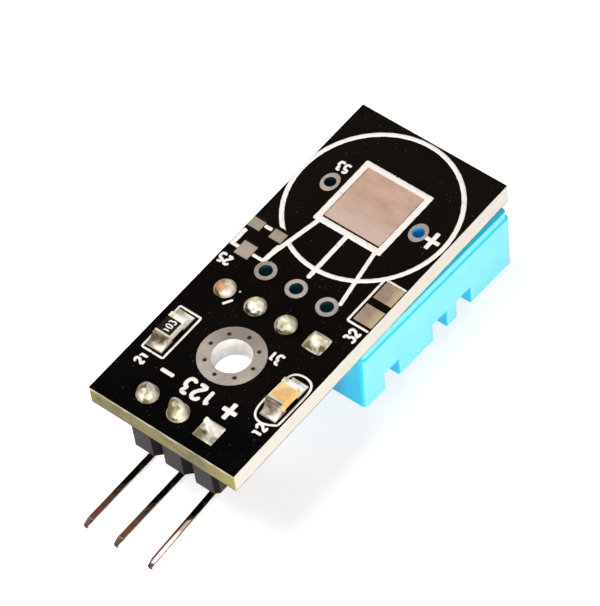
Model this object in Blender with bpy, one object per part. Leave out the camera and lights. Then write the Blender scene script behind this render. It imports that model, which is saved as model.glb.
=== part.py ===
"""A small temperature and humidity sensor module.

A black circuit board carries a blue slotted sensor under its far half and a three-pin right-angle header
at its near end. Every joint is soldered on the upper face, where the two chip parts and the bare pads are.

Board frame, which every piece is placed in: X from the board's middle line, Y from the end with the pins,
Z up from the board's underside. The empty called board_frame moves it all, so that the world's origin lies
under the middle of the whole module, at the height of its lowest point.
"""

import math

import bmesh
import bpy
from mathutils import Matrix, Vector

MM = 0.001

# Fits between pieces that touch on the real module.
SEAT = 0.02 * MM
PIN_CLEARANCE = 0.03 * MM

# The board.
BOARD_WIDTH = 12.0 * MM
BOARD_LENGTH = 28.0 * MM
BOARD_THICKNESS = 1.6 * MM

# Copper: the plates on both faces, and the plating inside each hole.
COPPER = 0.05 * MM
PLATING = 0.06 * MM

# Rows along the board, each measured from the one before, and the pitch across it.
PITCH = 2.54 * MM
END_TO_HEADER = 1.75 * MM
HEADER_TO_SCREW_HOLE = 5.35 * MM
SCREW_HOLE_TO_LEADS = 3.9 * MM
LEADS_TO_SPARE_ROW = 2.6 * MM
SPARE_ROW_TO_SQUARE = 8.05 * MM

# The header: its plastic strip and its bent square pins.
HEADER_PINS = 3
STRIP_DEPTH = 2.5 * MM
STRIP_HEIGHT = 2.54 * MM
STRIP_DROP = 0.7 * MM
STRIP_END_TRIM = 0.2 * MM
GROOVE_DEPTH = 0.5 * MM
GROOVE_WIDTH = 1.0 * MM
PIN_SIDE = 0.54 * MM
PIN_TIP_SIDE = 0.34 * MM
PIN_TAPER = 0.6 * MM
PIN_BELOW_STRIP = 1.26 * MM
PIN_BEND = 0.9 * MM
PIN_REACHES = (7.4 * MM, 7.4 * MM, 7.15 * MM)
PIN_ABOVE_BOARD = 0.5 * MM
PIN_DROOPS = (0.0, 0.0, math.radians(4.9))

# Pads and solder joints of the header and of the sensor.
HEADER_PAD = 1.62 * MM
LEAD_PAD = 1.6 * MM
JOINT_INSET = 0.03 * MM
PEAK_ROUNDING = 0.6
HEADER_JOINTS = (
    {"height": 1.05 * MM, "peak": 0.2 * MM, "fullness": 1.9, "square": 0.0, "lean": 0.05 * MM},
    {"height": 1.35 * MM, "peak": 0.1 * MM, "fullness": 1.15, "square": 0.0, "lean": 0.04 * MM},
    {"height": 1.45 * MM, "peak": 0.1 * MM, "fullness": 0.85, "square": 1.0, "lean": 0.0 * MM},
)
LEAD_JOINTS = (
    {"height": 0.85 * MM, "peak": 0.15 * MM, "fullness": 1.8, "square": 0.0, "lean": 0.04 * MM},
    {"height": 0.85 * MM, "peak": 0.12 * MM, "fullness": 1.6, "square": 0.0, "lean": 0.03 * MM},
    {"height": 0.95 * MM, "peak": 0.12 * MM, "fullness": 1.5, "square": 0.0, "lean": 0.0 * MM},
    {"height": 0.85 * MM, "peak": 0.12 * MM, "fullness": 1.05, "square": 1.0, "lean": 0.0 * MM},
)

# The screw hole, with its plated ring and the small holes round it.
SCREW_HOLE = 2.88 * MM
SCREW_RING = 4.6 * MM
RING_HOLES = 8
RING_HOLE = 0.32 * MM
RING_HOLE_CIRCLE = 3.5 * MM

# Spare holes: a row of three, and a pair with oval rings beside the bare square.
SPARE_HOLE = 1.14 * MM
SPARE_RING = 1.6 * MM
SPARE_PAIR_SPACING = 7.36 * MM
OVAL_HOLE = 1.0 * MM
OVAL_RING_WIDTH = 1.3 * MM
OVAL_RING_LENGTH = 1.65 * MM
BARE_SQUARE_WIDTH = 4.55 * MM
BARE_SQUARE_LENGTH = 4.7 * MM

# Bare pads with no part on them, placed from the board's left and right edges.
EDGE_GAP = 0.05 * MM
TRIO_PAD_WIDTH = 1.0 * MM
TRIO_PAD_LENGTH = 1.05 * MM
TRIO_SPACING = 1.8 * MM
TRIO_LONE_WIDTH = 1.1 * MM
TRIO_LONE_LENGTH = 1.35 * MM
TRIO_LONE_OFFSET = 2.1 * MM
SPARE_ROW_TO_TRIO = 2.75 * MM
DUO_PAD_SIDE = 1.45 * MM
DUO_SPACING = 2.05 * MM
SPARE_ROW_TO_DUO = 2.0 * MM

# Chip parts: a resistor on the left and a capacitor on the right, both lying along the board.
CHIP_LENGTH = 2.0 * MM
CHIP_WIDTH = 1.25 * MM
CHIP_END = 0.4 * MM
CHIP_END_WALL = 0.06 * MM
RESISTOR_HEIGHT = 0.55 * MM
CAPACITOR_HEIGHT = 0.9 * MM
RESISTOR_EDGE = 1.5 * MM
CAPACITOR_EDGE = 1.08 * MM
SCREW_HOLE_TO_CHIPS = 0.75 * MM
CHIP_PAD_WIDTH = 1.3 * MM
CHIP_PAD_UNDERLAP = 0.45 * MM
CHIP_PAD_TOE = 0.7 * MM
FILLET_TOE_GAP = 0.06 * MM
FILLET_RISE = 0.75
FILLET_LIP = 0.03 * MM
FILLET_CREST = 0.08 * MM

# The sensor: a blue shell with a slotted front that faces down, closed at its back by a cover. The board
# is cut to the sensor's width.
SENSOR_WIDTH = BOARD_WIDTH
SENSOR_LENGTH = 15.5 * MM
SENSOR_DEPTH = 5.4 * MM
SENSOR_TILT = math.radians(3.5)
SENSOR_GAP = 0.1 * MM
LEADS_TO_SENSOR = 1.6 * MM
SENSOR_CORNER = 0.35 * MM
FRONT_EDGE = 0.2 * MM
COVER_THICKNESS = 0.65 * MM
COVER_INSET = 0.12 * MM
WALL = 1.2 * MM
RIM = 0.8 * MM
GRILLE_THICKNESS = 1.0 * MM
SLOT_ROWS = 5
SLOT_PITCH = 2.51 * MM
SLOT_LENGTH = 1.5 * MM
SLOT_SHIFT = 0.1 * MM
SLOT_BAR = 0.9 * MM
MIDDLE_SLOT = 3.0 * MM
NOTCH_DEPTH = 1.7 * MM
NOTCHED_ROWS = (0, 2, 3)

# Inside the sensor: a small board with the sensing plate, the thermistor and the signal chip.
INNER_BOARD = 0.8 * MM
INNER_BOARD_GAP = 0.1 * MM
PLATE_WIDTH = 6.0 * MM
PLATE_LENGTH = 7.6 * MM
PLATE_THICKNESS = 0.65 * MM
THERMISTOR = (1.6 * MM, 0.8 * MM, 0.8 * MM)
SIGNAL_CHIP = (2.9 * MM, 1.6 * MM, 1.0 * MM)
INNER_PARTS_SPACING = 4.6 * MM
PARTS_TO_PLATE = 0.5 * MM
PART_EDGE = 0.08 * MM

# The sensor's four flat leads.
LEADS = 4
LEAD_WIDTH = 0.5 * MM
LEAD_THICKNESS = 0.3 * MM
LEAD_BEND = 0.5 * MM
LEAD_INSIDE = 3.0 * MM
LEAD_ABOVE_BOARD = 0.4 * MM
LEAD_SLOT_CLEARANCE = 0.05 * MM

# Facets.
ROUND_STEPS = 16
RING_STEPS = 32
BEND_STEPS = 6
JOINT_STEPS = 7

# Heights that several pieces share.
BOARD_TOP = BOARD_THICKNESS
PAD_TOP = BOARD_TOP + SEAT + COPPER
ON_PAD = PAD_TOP + SEAT

# Places along the board.
HEADER_Y = END_TO_HEADER
SCREW_HOLE_Y = HEADER_Y + HEADER_TO_SCREW_HOLE
LEADS_Y = SCREW_HOLE_Y + SCREW_HOLE_TO_LEADS
SPARE_ROW_Y = LEADS_Y + LEADS_TO_SPARE_ROW
SQUARE_Y = SPARE_ROW_Y + SPARE_ROW_TO_SQUARE
SENSOR_Y = LEADS_Y + LEADS_TO_SENSOR
CHIPS_Y = SCREW_HOLE_Y - SCREW_HOLE_TO_CHIPS

# Radii of the plated holes.
HEADER_BORE = PIN_SIDE / math.sqrt(2) + PIN_CLEARANCE
LEAD_BORE = math.hypot(LEAD_WIDTH, LEAD_THICKNESS) / 2 + PIN_CLEARANCE
SPARE_BORE = SPARE_HOLE / 2 - SEAT - PLATING
OVAL_BORE = OVAL_HOLE / 2 - SEAT - PLATING
SCREW_BORE = SCREW_HOLE / 2 - SEAT - PLATING

# The header's own levels.
STRIP_TOP = -STRIP_DROP
STRIP_BOTTOM = STRIP_TOP - STRIP_HEIGHT
PIN_LEVEL = STRIP_BOTTOM - PIN_BELOW_STRIP

# The sensor's own levels, in its tilted frame: zero at the back of its cover, and down towards its front.
SHELL_TOP = -(COVER_THICKNESS + SEAT)
LEAD_LEVEL = SHELL_TOP - SEAT - LEAD_THICKNESS / 2
INNER_TOP = LEAD_LEVEL - LEAD_THICKNESS / 2 - SEAT
INNER_BOTTOM = INNER_TOP - INNER_BOARD
LEDGE = INNER_BOTTOM - SEAT
GRILLE_TOP = -SENSOR_DEPTH + GRILLE_THICKNESS
SLOTS_MIDDLE = SENSOR_LENGTH / 2 + SLOT_SHIFT


def row(count, pitch):
    """Places of a row of pieces, centred on zero."""
    return [(i - (count - 1) / 2) * pitch for i in range(count)]


def new_material(name, colour, roughness, metallic=0.0):
    made = bpy.data.materials.new(name)
    made.use_nodes = True
    shader = made.node_tree.nodes["Principled BSDF"]
    shader.inputs["Base Color"].default_value = (*colour, 1.0)
    shader.inputs["Roughness"].default_value = roughness
    shader.inputs["Metallic"].default_value = metallic
    return made


def add_object(name, bm, material, parent, place=(0, 0, 0), smooth=False):
    """Turns a bmesh into an object with its normals outwards, placed in its parent's frame."""
    bmesh.ops.recalc_face_normals(bm, faces=bm.faces)
    mesh = bpy.data.meshes.new(name)
    bm.to_mesh(mesh)
    bm.free()
    if smooth:
        mesh.shade_smooth()
        mesh.set_sharp_from_angle(angle=math.radians(40))
    if material:
        mesh.materials.append(material)
    obj = bpy.data.objects.new(name, mesh)
    bpy.context.scene.collection.objects.link(obj)
    obj.parent = parent
    obj.location = place
    return obj


def as_cutter(obj):
    obj.hide_render = True
    obj.display_type = "WIRE"
    return obj


def cut(obj, cutter):
    """Takes the cutter's shape out of the object with a live Boolean."""
    modifier = obj.modifiers.new("cut " + cutter.name, "BOOLEAN")
    modifier.operation = "DIFFERENCE"
    modifier.solver = "EXACT"
    modifier.object = cutter


def add_box(bm, low, high):
    """A box between two corners, added to a bmesh. It returns its vertices."""
    size = Vector(high) - Vector(low)
    middle = (Vector(high) + Vector(low)) / 2
    place = Matrix.Translation(middle) @ Matrix.Diagonal((*size, 1.0))
    return bmesh.ops.create_cube(bm, size=1.0, matrix=place)["verts"]


def add_cylinder(bm, radius, low, high, steps, x=0.0, y=0.0):
    """An upright cylinder between two heights, added to a bmesh."""
    place = Matrix.Translation((x, y, (low + high) / 2))
    bmesh.ops.create_cone(
        bm, cap_ends=True, segments=steps, radius1=radius, radius2=radius, depth=high - low, matrix=place
    )


def upright_edges(bm, shortest):
    """The edges that rise by more than a length."""
    return [edge for edge in bm.edges if abs(edge.verts[0].co.z - edge.verts[1].co.z) > shortest]


def bevel_edges(bm, chosen, width, steps):
    bmesh.ops.bevel(bm, geom=chosen, offset=width, segments=steps, profile=0.5, affect="EDGES")


def loft(loops, closed):
    """Joins loops of equal counts with quads. The ends are joined to each other or capped."""
    bm = bmesh.new()
    rings = [[bm.verts.new(point) for point in loop] for loop in loops]
    count = len(rings[0])
    pairs = list(zip(rings, rings[1:]))
    if closed:
        pairs.append((rings[-1], rings[0]))
    else:
        bm.faces.new(rings[0])
        bm.faces.new(rings[-1])
    for lower, upper in pairs:
        for i in range(count):
            j = (i + 1) % count
            bm.faces.new((lower[i], lower[j], upper[j], upper[i]))
    return bm


def level_loop(half_x, half_y, z, square=0.0, steps=ROUND_STEPS, shift=0.0):
    """A level loop round the Z axis: an ellipse at square 0, a rectangle at square 1, a blend between.

    The count of steps is a multiple of 8, so that a rectangle has a point at each corner.
    """
    points = []
    for i in range(steps):
        angle = 2 * math.pi * i / steps
        c, s = math.cos(angle), math.sin(angle)
        stretch = 1 + square * (1 / max(abs(c), abs(s)) - 1)
        points.append((half_x * c * stretch, shift + half_y * s * stretch, z))
    return points


def prism(outline, depth, axis):
    """Extrudes a closed outline by a depth, half to each side, along X or Z."""
    bm = bmesh.new()
    if axis == "X":
        corners = [(-depth / 2, a, b) for a, b in outline]
        move = (depth, 0, 0)
    else:
        corners = [(a, b, -depth / 2) for a, b in outline]
        move = (0, 0, depth)
    face = bm.faces.new([bm.verts.new(corner) for corner in corners])
    extruded = bmesh.ops.extrude_face_region(bm, geom=[face])["geom"]
    moved = [item for item in extruded if isinstance(item, bmesh.types.BMVert)]
    bmesh.ops.translate(bm, verts=moved, vec=move)
    return bm


# Pieces that come many times


def plated_hole(name, place, bore, half_x, half_y, square=0.0, steps=ROUND_STEPS):
    """A plated hole: a flat ring on each face of the board, joined by a thin tube through the hole."""
    tube = bore + PLATING
    top = BOARD_TOP + SEAT
    below = -SEAT
    loops = [
        level_loop(bore, bore, below - COPPER, 0.0, steps),
        level_loop(half_x, half_y, below - COPPER, square, steps),
        level_loop(half_x, half_y, below, square, steps),
        level_loop(tube, tube, below, 0.0, steps),
        level_loop(tube, tube, top, 0.0, steps),
        level_loop(half_x, half_y, top, square, steps),
        level_loop(half_x, half_y, top + COPPER, square, steps),
        level_loop(bore, bore, top + COPPER, 0.0, steps),
    ]
    return add_object(name, loft(loops, closed=True), COPPER_FINISH, BOARD_FRAME, place, smooth=True)


def solder_joint(name, place, half_base, form, pocket_side, pocket_top_side, standout):
    """A solder joint drawn up round the end of a pin, with a blind pocket that the end sits in.

    The outer form is a superellipse in height: at fullness 2 a dome, at 1 a cone, below 1 a hollow spire.
    """
    base = ON_PAD
    ceiling = BOARD_TOP + standout + SEAT
    wide = pocket_side / 2 + PIN_CLEARANCE
    narrow = pocket_top_side / 2 + PIN_CLEARANCE
    loops = [level_loop(narrow, narrow, ceiling, 1.0)]
    if ceiling - PIN_TAPER > base:
        loops.append(level_loop(wide, wide, ceiling - PIN_TAPER, 1.0))
    loops.append(level_loop(wide, wide, base, 1.0))
    height, power = form["height"], form["fullness"]
    for i in range(JOINT_STEPS + 1):
        rise = math.sin(math.pi / 2 * i / JOINT_STEPS) if power > 1 else i / JOINT_STEPS
        share = max(0.0, 1 - rise**power) ** (1 / power)
        half = form["peak"] + (half_base - form["peak"]) * share
        square = form["square"] * (1 - PEAK_ROUNDING * rise)
        loops.append(level_loop(half, half, base + height * rise, square, ROUND_STEPS, form["lean"] * rise))
    return add_object(name, loft(loops, closed=False), SOLDER_FINISH, BOARD_FRAME, place, smooth=True)


def cornered_path(start, corner, end, radius):
    """Points and directions in the YZ plane from start to end, turning at the corner on an arc.

    The turn is positive clockwise, as angle_signed gives it.
    """
    start, corner, end = Vector(start), Vector(corner), Vector(end)
    before = (corner - start).normalized()
    after = (end - corner).normalized()
    turn = before.angle_signed(after)
    back = radius * math.tan(abs(turn) / 2)
    first = corner - before * back
    side = -1 if turn > 0 else 1
    centre = first + Vector((-before.y, before.x)) * radius * side
    steps = []
    for i in range(BEND_STEPS + 1):
        swing = Matrix.Rotation(-turn * i / BEND_STEPS, 2)
        steps.append((centre + swing @ (first - centre), swing @ before))
    return [(start, before)] + steps + [(end, after)]


def bar_along(path, width, thickness, tip_side, taper):
    """A bar of rectangular section carried along a path in the YZ plane. Its ends may taper."""
    sections = [(point, way, 1.0) for point, way in path]
    if taper:
        share = tip_side / width
        (first, way_in), (last, way_out) = path[0], path[-1]
        sections[0] = (first, way_in, share)
        sections[-1] = (last, way_out, share)
        sections.insert(1, (first + way_in * taper, way_in, 1.0))
        sections.insert(-1, (last - way_out * taper, way_out, 1.0))
    loops = []
    for point, way, share in sections:
        across = Vector((-way.y, way.x)) * thickness / 2 * share
        x = width / 2 * share
        over, under = point + across, point - across
        lower = [(-x, under.x, under.y), (x, under.x, under.y)]
        upper = [(x, over.x, over.y), (-x, over.x, over.y)]
        loops.append(lower + upper)
    return loft(loops, closed=False)


def flat_pad(name, x, y, width, length, finish):
    """A thin copper plate lying on the board."""
    bm = bmesh.new()
    add_box(bm, (-width / 2, -length / 2, 0), (width / 2, length / 2, COPPER))
    return add_object(name, bm, finish, BOARD_FRAME, (x, y, BOARD_TOP + SEAT))


def chip_part(name, x, height, body_finish):
    """A chip part lying along Y: its body, the metal cap on each end, and under each a pad with solder."""
    place = (x, CHIPS_Y, ON_PAD)
    half = CHIP_LENGTH / 2
    inset = CHIP_END_WALL + SEAT
    bm = bmesh.new()
    add_box(
        bm,
        (-CHIP_WIDTH / 2, -half + inset, inset),
        (CHIP_WIDTH / 2, half - inset, height - inset),
    )
    add_object(name + "_body", bm, body_finish, BOARD_FRAME, place)
    for end, way in (("near", -1), ("far", 1)):
        inner = half - CHIP_END
        wall = CHIP_END_WALL
        channel = [
            (inner, 0), (half, 0), (half, height), (inner, height),
            (inner, height - wall), (half - wall, height - wall), (half - wall, wall), (inner, wall),
        ]
        cap = [(way * y, z) for y, z in channel]
        add_object(f"{name}_{end}_cap", prism(cap, CHIP_WIDTH, "X"), TIN_FINISH, BOARD_FRAME, place)
        pad_inner = half - CHIP_PAD_UNDERLAP
        pad_outer = half + CHIP_PAD_TOE
        pad_y = CHIPS_Y + way * (pad_inner + pad_outer) / 2
        flat_pad(f"{name}_{end}_pad", x, pad_y, CHIP_PAD_WIDTH, pad_outer - pad_inner, COPPER_FINISH)
        heel = half + SEAT
        toe = pad_outer - FILLET_TOE_GAP
        top = FILLET_RISE * height
        slope = [(heel, top), (heel, 0), (toe, 0)]
        for i in range(BEND_STEPS + 1):
            swing = math.pi / 2 * i / BEND_STEPS
            rise = FILLET_LIP + (top - FILLET_LIP) * (1 - math.cos(swing))
            slope.append((toe - (toe - heel - FILLET_CREST) * math.sin(swing), rise))
        wedge = [(way * y, z) for y, z in slope]
        add_object(f"{name}_{end}_solder", prism(wedge, CHIP_WIDTH, "X"), SOLDER_FINISH, BOARD_FRAME, place)


# The board and what is on it


def circuit_board():
    """The board, drilled for the screw, the header, the sensor's leads and the spare holes."""
    bm = bmesh.new()
    add_box(bm, (-BOARD_WIDTH / 2, 0, 0), (BOARD_WIDTH / 2, BOARD_LENGTH, BOARD_THICKNESS))
    board = add_object("circuit_board", bm, BOARD_FINISH, BOARD_FRAME)
    drills = bmesh.new()
    low, high = -BOARD_THICKNESS, 2 * BOARD_THICKNESS
    fit = PLATING + SEAT
    for x in row(HEADER_PINS, PITCH):
        add_cylinder(drills, HEADER_BORE + fit, low, high, ROUND_STEPS, x, HEADER_Y)
    for x in row(LEADS, PITCH):
        add_cylinder(drills, LEAD_BORE + fit, low, high, ROUND_STEPS, x, LEADS_Y)
    for x in row(3, PITCH):
        add_cylinder(drills, SPARE_BORE + fit, low, high, ROUND_STEPS, x, SPARE_ROW_Y)
    for x in row(2, SPARE_PAIR_SPACING):
        add_cylinder(drills, OVAL_BORE + fit, low, high, ROUND_STEPS, x, SQUARE_Y)
    add_cylinder(drills, SCREW_BORE + fit, low, high, RING_STEPS, 0.0, SCREW_HOLE_Y)
    cut(board, as_cutter(add_object("board_drills", drills, None, BOARD_FRAME)))


def screw_ring():
    """The plated ring that the fixing screw clamps, with its circle of small holes."""
    half = SCREW_RING / 2
    ring = plated_hole("screw_ring", (0, SCREW_HOLE_Y, 0), SCREW_BORE, half, half, 0.0, RING_STEPS)
    drills = bmesh.new()
    for i in range(RING_HOLES):
        angle = 2 * math.pi * i / RING_HOLES
        x = RING_HOLE_CIRCLE / 2 * math.cos(angle)
        y = RING_HOLE_CIRCLE / 2 * math.sin(angle)
        add_cylinder(drills, RING_HOLE / 2, -BOARD_THICKNESS, 2 * BOARD_THICKNESS, 8, x, y)
    cut(ring, as_cutter(add_object("ring_drills", drills, None, BOARD_FRAME, (0, SCREW_HOLE_Y, 0))))


def spare_holes():
    half = SPARE_RING / 2
    for name, x in zip(("left", "middle", "right"), row(3, PITCH)):
        plated_hole(f"spare_hole_{name}", (x, SPARE_ROW_Y, 0), SPARE_BORE, half, half)
    for name, x in zip(("left", "right"), row(2, SPARE_PAIR_SPACING)):
        plated_hole(
            f"oval_spare_hole_{name}", (x, SQUARE_Y, 0), OVAL_BORE, OVAL_RING_WIDTH / 2, OVAL_RING_LENGTH / 2
        )


def bare_pads():
    """The square plate and the five pads that have no part on them."""
    flat_pad("bare_square", 0.0, SQUARE_Y, BARE_SQUARE_WIDTH, BARE_SQUARE_LENGTH, BARE_COPPER_FINISH)
    left = -BOARD_WIDTH / 2 + EDGE_GAP + TRIO_PAD_WIDTH / 2
    y = SPARE_ROW_Y + SPARE_ROW_TO_TRIO
    flat_pad("trio_pad_outer", left, y, TRIO_PAD_WIDTH, TRIO_PAD_LENGTH, COPPER_FINISH)
    flat_pad("trio_pad_inner", left + TRIO_SPACING, y, TRIO_PAD_WIDTH, TRIO_PAD_LENGTH, COPPER_FINISH)
    ring_edge = -PITCH - SPARE_RING / 2
    lone = (-BOARD_WIDTH / 2 + ring_edge) / 2
    flat_pad("trio_pad_lone", lone, y - TRIO_LONE_OFFSET, TRIO_LONE_WIDTH, TRIO_LONE_LENGTH, COPPER_FINISH)
    right = BOARD_WIDTH / 2 - EDGE_GAP - DUO_PAD_SIDE / 2
    middle = SPARE_ROW_Y + SPARE_ROW_TO_DUO
    for name, shift in zip(("near", "far"), row(2, DUO_SPACING)):
        flat_pad(f"duo_pad_{name}", right, middle + shift, DUO_PAD_SIDE, DUO_PAD_SIDE, COPPER_FINISH)


# The header


def header_strip():
    """The header's moulded strip: a unit round each pin, with a V groove between each two.

    It is snapped off a longer strip, so its two ends stop short of the middle of a groove.
    """
    half_depth = STRIP_DEPTH / 2
    flat = (PITCH - GROOVE_WIDTH) / 2
    end = HEADER_PINS * PITCH / 2 - STRIP_END_TRIM
    end_depth = GROOVE_DEPTH * (1 - 2 * STRIP_END_TRIM / GROOVE_WIDTH)
    front = []
    for x in row(HEADER_PINS, PITCH):
        front.append((x - PITCH / 2, GROOVE_DEPTH - half_depth))
        front.append((x - flat, -half_depth))
        front.append((x + flat, -half_depth))
    front[0] = (-end, end_depth - half_depth)
    front.append((end, end_depth - half_depth))
    back = [(x, -y) for x, y in reversed(front)]
    middle = (STRIP_TOP + STRIP_BOTTOM) / 2
    place = (0, HEADER_Y, middle)
    body = prism(front + back, STRIP_HEIGHT, "Z")
    strip = add_object("header_strip", body, STRIP_FINISH, BOARD_FRAME, place)
    holes = bmesh.new()
    half = PIN_SIDE / 2 + PIN_CLEARANCE
    for x in row(HEADER_PINS, PITCH):
        add_box(holes, (x - half, -half, -STRIP_HEIGHT), (x + half, half, STRIP_HEIGHT))
    cut(strip, as_cutter(add_object("strip_holes", holes, None, BOARD_FRAME, place)))


def header_pins():
    """Square pins: down from the solder through board and strip, then bent level, past the board's end."""
    names = ("left", "middle", "right")
    for name, x, reach, droop in zip(names, row(HEADER_PINS, PITCH), PIN_REACHES, PIN_DROOPS):
        top = (0.0, BOARD_TOP + PIN_ABOVE_BOARD)
        corner = (0.0, PIN_LEVEL)
        tip = (-reach, PIN_LEVEL - reach * math.tan(droop))
        path = cornered_path(top, corner, tip, PIN_BEND)
        pin = bar_along(path, PIN_SIDE, PIN_SIDE, PIN_TIP_SIDE, PIN_TAPER)
        add_object(f"header_pin_{name}", pin, PIN_FINISH, BOARD_FRAME, (x, HEADER_Y, 0))


def header_joints():
    names = ("left", "middle", "right")
    for name, x, form in zip(names, row(HEADER_PINS, PITCH), HEADER_JOINTS):
        half = HEADER_PAD / 2
        plated_hole(f"header_pad_{name}", (x, HEADER_Y, 0), HEADER_BORE, half, half, form["square"])
        solder_joint(
            f"header_solder_{name}", (x, HEADER_Y, 0), half - JOINT_INSET, form, PIN_SIDE, PIN_TIP_SIDE,
            PIN_ABOVE_BOARD,
        )


# The sensor


def sensor_shell():
    """The blue shell: thin walls, a ledge for the inner board, and a front slotted like a grille."""
    bm = bmesh.new()
    half = SENSOR_WIDTH / 2
    add_box(bm, (-half, 0, -SENSOR_DEPTH), (half, SENSOR_LENGTH, SHELL_TOP))
    bevel_edges(bm, upright_edges(bm, SENSOR_DEPTH / 2), SENSOR_CORNER, 3)
    front = [edge for edge in bm.edges if all(v.co.z < -SENSOR_DEPTH + SEAT for v in edge.verts)]
    bevel_edges(bm, front, FRONT_EDGE, 2)
    shell = add_object("sensor_shell", bm, BLUE_FINISH, SENSOR_FRAME)

    above = SHELL_TOP + WALL
    hollow = bmesh.new()
    add_box(hollow, (-half + WALL, WALL, GRILLE_TOP), (half - WALL, SENSOR_LENGTH - WALL, above))
    cut(shell, as_cutter(add_object("shell_hollow", hollow, None, SENSOR_FRAME)))

    seat = bmesh.new()
    add_box(seat, (-half + RIM, RIM, LEDGE), (half - RIM, SENSOR_LENGTH - RIM, above))
    cut(shell, as_cutter(add_object("shell_seat", seat, None, SENSOR_FRAME)))

    slots = bmesh.new()
    inner = MIDDLE_SLOT / 2 + SLOT_BAR
    below = -SENSOR_DEPTH - WALL
    for number, y in enumerate(row(SLOT_ROWS, SLOT_PITCH)):
        near, far = SLOTS_MIDDLE + y - SLOT_LENGTH / 2, SLOTS_MIDDLE + y + SLOT_LENGTH / 2
        add_box(slots, (-MIDDLE_SLOT / 2, near, below), (MIDDLE_SLOT / 2, far, GRILLE_TOP + WALL))
        notched = number in NOTCHED_ROWS
        outer = half + WALL if notched else half - WALL
        top = -SENSOR_DEPTH + NOTCH_DEPTH if notched else GRILLE_TOP + WALL
        for side in (-1, 1):
            ends = sorted((side * inner, side * outer))
            add_box(slots, (ends[0], near, below), (ends[1], far, top))
    cut(shell, as_cutter(add_object("shell_slots", slots, None, SENSOR_FRAME)))

    gates = bmesh.new()
    gate = LEAD_WIDTH / 2 + LEAD_SLOT_CLEARANCE
    floor = LEAD_LEVEL - LEAD_THICKNESS / 2 - LEAD_SLOT_CLEARANCE
    for x in row(LEADS, PITCH):
        add_box(gates, (x - gate, -WALL, floor), (x + gate, 2 * WALL, above))
    cut(shell, as_cutter(add_object("lead_gates", gates, None, SENSOR_FRAME)))


def sensor_cover():
    """The cover that closes the shell's back, under the board."""
    bm = bmesh.new()
    half = SENSOR_WIDTH / 2 - COVER_INSET
    add_box(bm, (-half, COVER_INSET, -COVER_THICKNESS), (half, SENSOR_LENGTH - COVER_INSET, 0))
    bevel_edges(bm, upright_edges(bm, COVER_THICKNESS / 2), SENSOR_CORNER, 3)
    add_object("sensor_cover", bm, BLUE_FINISH, SENSOR_FRAME)


def sensor_inside():
    """The inner board on its ledge, with the sensing plate, the thermistor and the signal chip under it."""
    bm = bmesh.new()
    edge = RIM + INNER_BOARD_GAP
    half = SENSOR_WIDTH / 2 - edge
    add_box(bm, (-half, edge, INNER_BOTTOM), (half, SENSOR_LENGTH - edge, INNER_TOP))
    add_object("sensor_inner_board", bm, INNER_BOARD_FINISH, SENSOR_FRAME)
    under = INNER_BOTTOM - SEAT
    plate_near = SENSOR_LENGTH - WALL - PARTS_TO_PLATE - PLATE_LENGTH
    parts_y = plate_near - PARTS_TO_PLATE - max(SIGNAL_CHIP[1], THERMISTOR[1]) / 2
    plate_y = plate_near + PLATE_LENGTH / 2
    pieces = (
        ("humidity_plate", (PLATE_WIDTH, PLATE_LENGTH, PLATE_THICKNESS), 0.0, plate_y, PLATE_FINISH),
        ("thermistor", THERMISTOR, -INNER_PARTS_SPACING / 2, parts_y, THERMISTOR_FINISH),
        ("signal_chip", SIGNAL_CHIP, INNER_PARTS_SPACING / 2, parts_y, CHIP_FINISH),
    )
    for name, (width, length, height), x, y, finish in pieces:
        bm = bmesh.new()
        add_box(bm, (-width / 2, -length / 2, -height), (width / 2, length / 2, 0))
        lower = [edge for edge in bm.edges if any(v.co.z < -height / 2 for v in edge.verts)]
        bevel_edges(bm, lower, PART_EDGE, 1)
        add_object(name, bm, finish, SENSOR_FRAME, (x, y, under))


def lead_path():
    """A lead's path in the YZ plane of its hole: from inside the tilted shell, in line with it, then up."""
    along = Vector((math.cos(SENSOR_TILT), -math.sin(SENSOR_TILT)))
    upward = Vector((math.sin(SENSOR_TILT), math.cos(SENSOR_TILT)))
    leaves_shell = Vector((LEADS_TO_SENSOR, -SENSOR_GAP)) + upward * LEAD_LEVEL
    corner = leaves_shell - along * (leaves_shell.x / along.x)
    top = (0.0, BOARD_TOP + LEAD_ABOVE_BOARD)
    return cornered_path(leaves_shell + along * LEAD_INSIDE, corner, top, LEAD_BEND)


def sensor_leads():
    """Flat leads: out of the shell's near end, then bent up through the board into their solder."""
    path = lead_path()
    for number, (x, form) in enumerate(zip(row(LEADS, PITCH), LEAD_JOINTS), 1):
        lead = bar_along(path, LEAD_WIDTH, LEAD_THICKNESS, LEAD_WIDTH, 0.0)
        add_object(f"sensor_lead_{number}", lead, LEAD_FINISH, BOARD_FRAME, (x, LEADS_Y, 0))
        half = LEAD_PAD / 2
        plated_hole(f"sensor_pad_{number}", (x, LEADS_Y, 0), LEAD_BORE, half, half, form["square"])
        solder_joint(
            f"sensor_solder_{number}", (x, LEADS_Y, 0), half - JOINT_INSET, form, LEAD_WIDTH, LEAD_WIDTH,
            LEAD_ABOVE_BOARD,
        )


def new_frame(name, place, parent=None):
    frame = bpy.data.objects.new(name, None)
    frame.empty_display_size = 2 * MM
    bpy.context.scene.collection.objects.link(frame)
    frame.parent = parent
    frame.location = place
    return frame


for old in list(bpy.data.objects):
    bpy.data.objects.remove(old, do_unlink=True)

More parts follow.
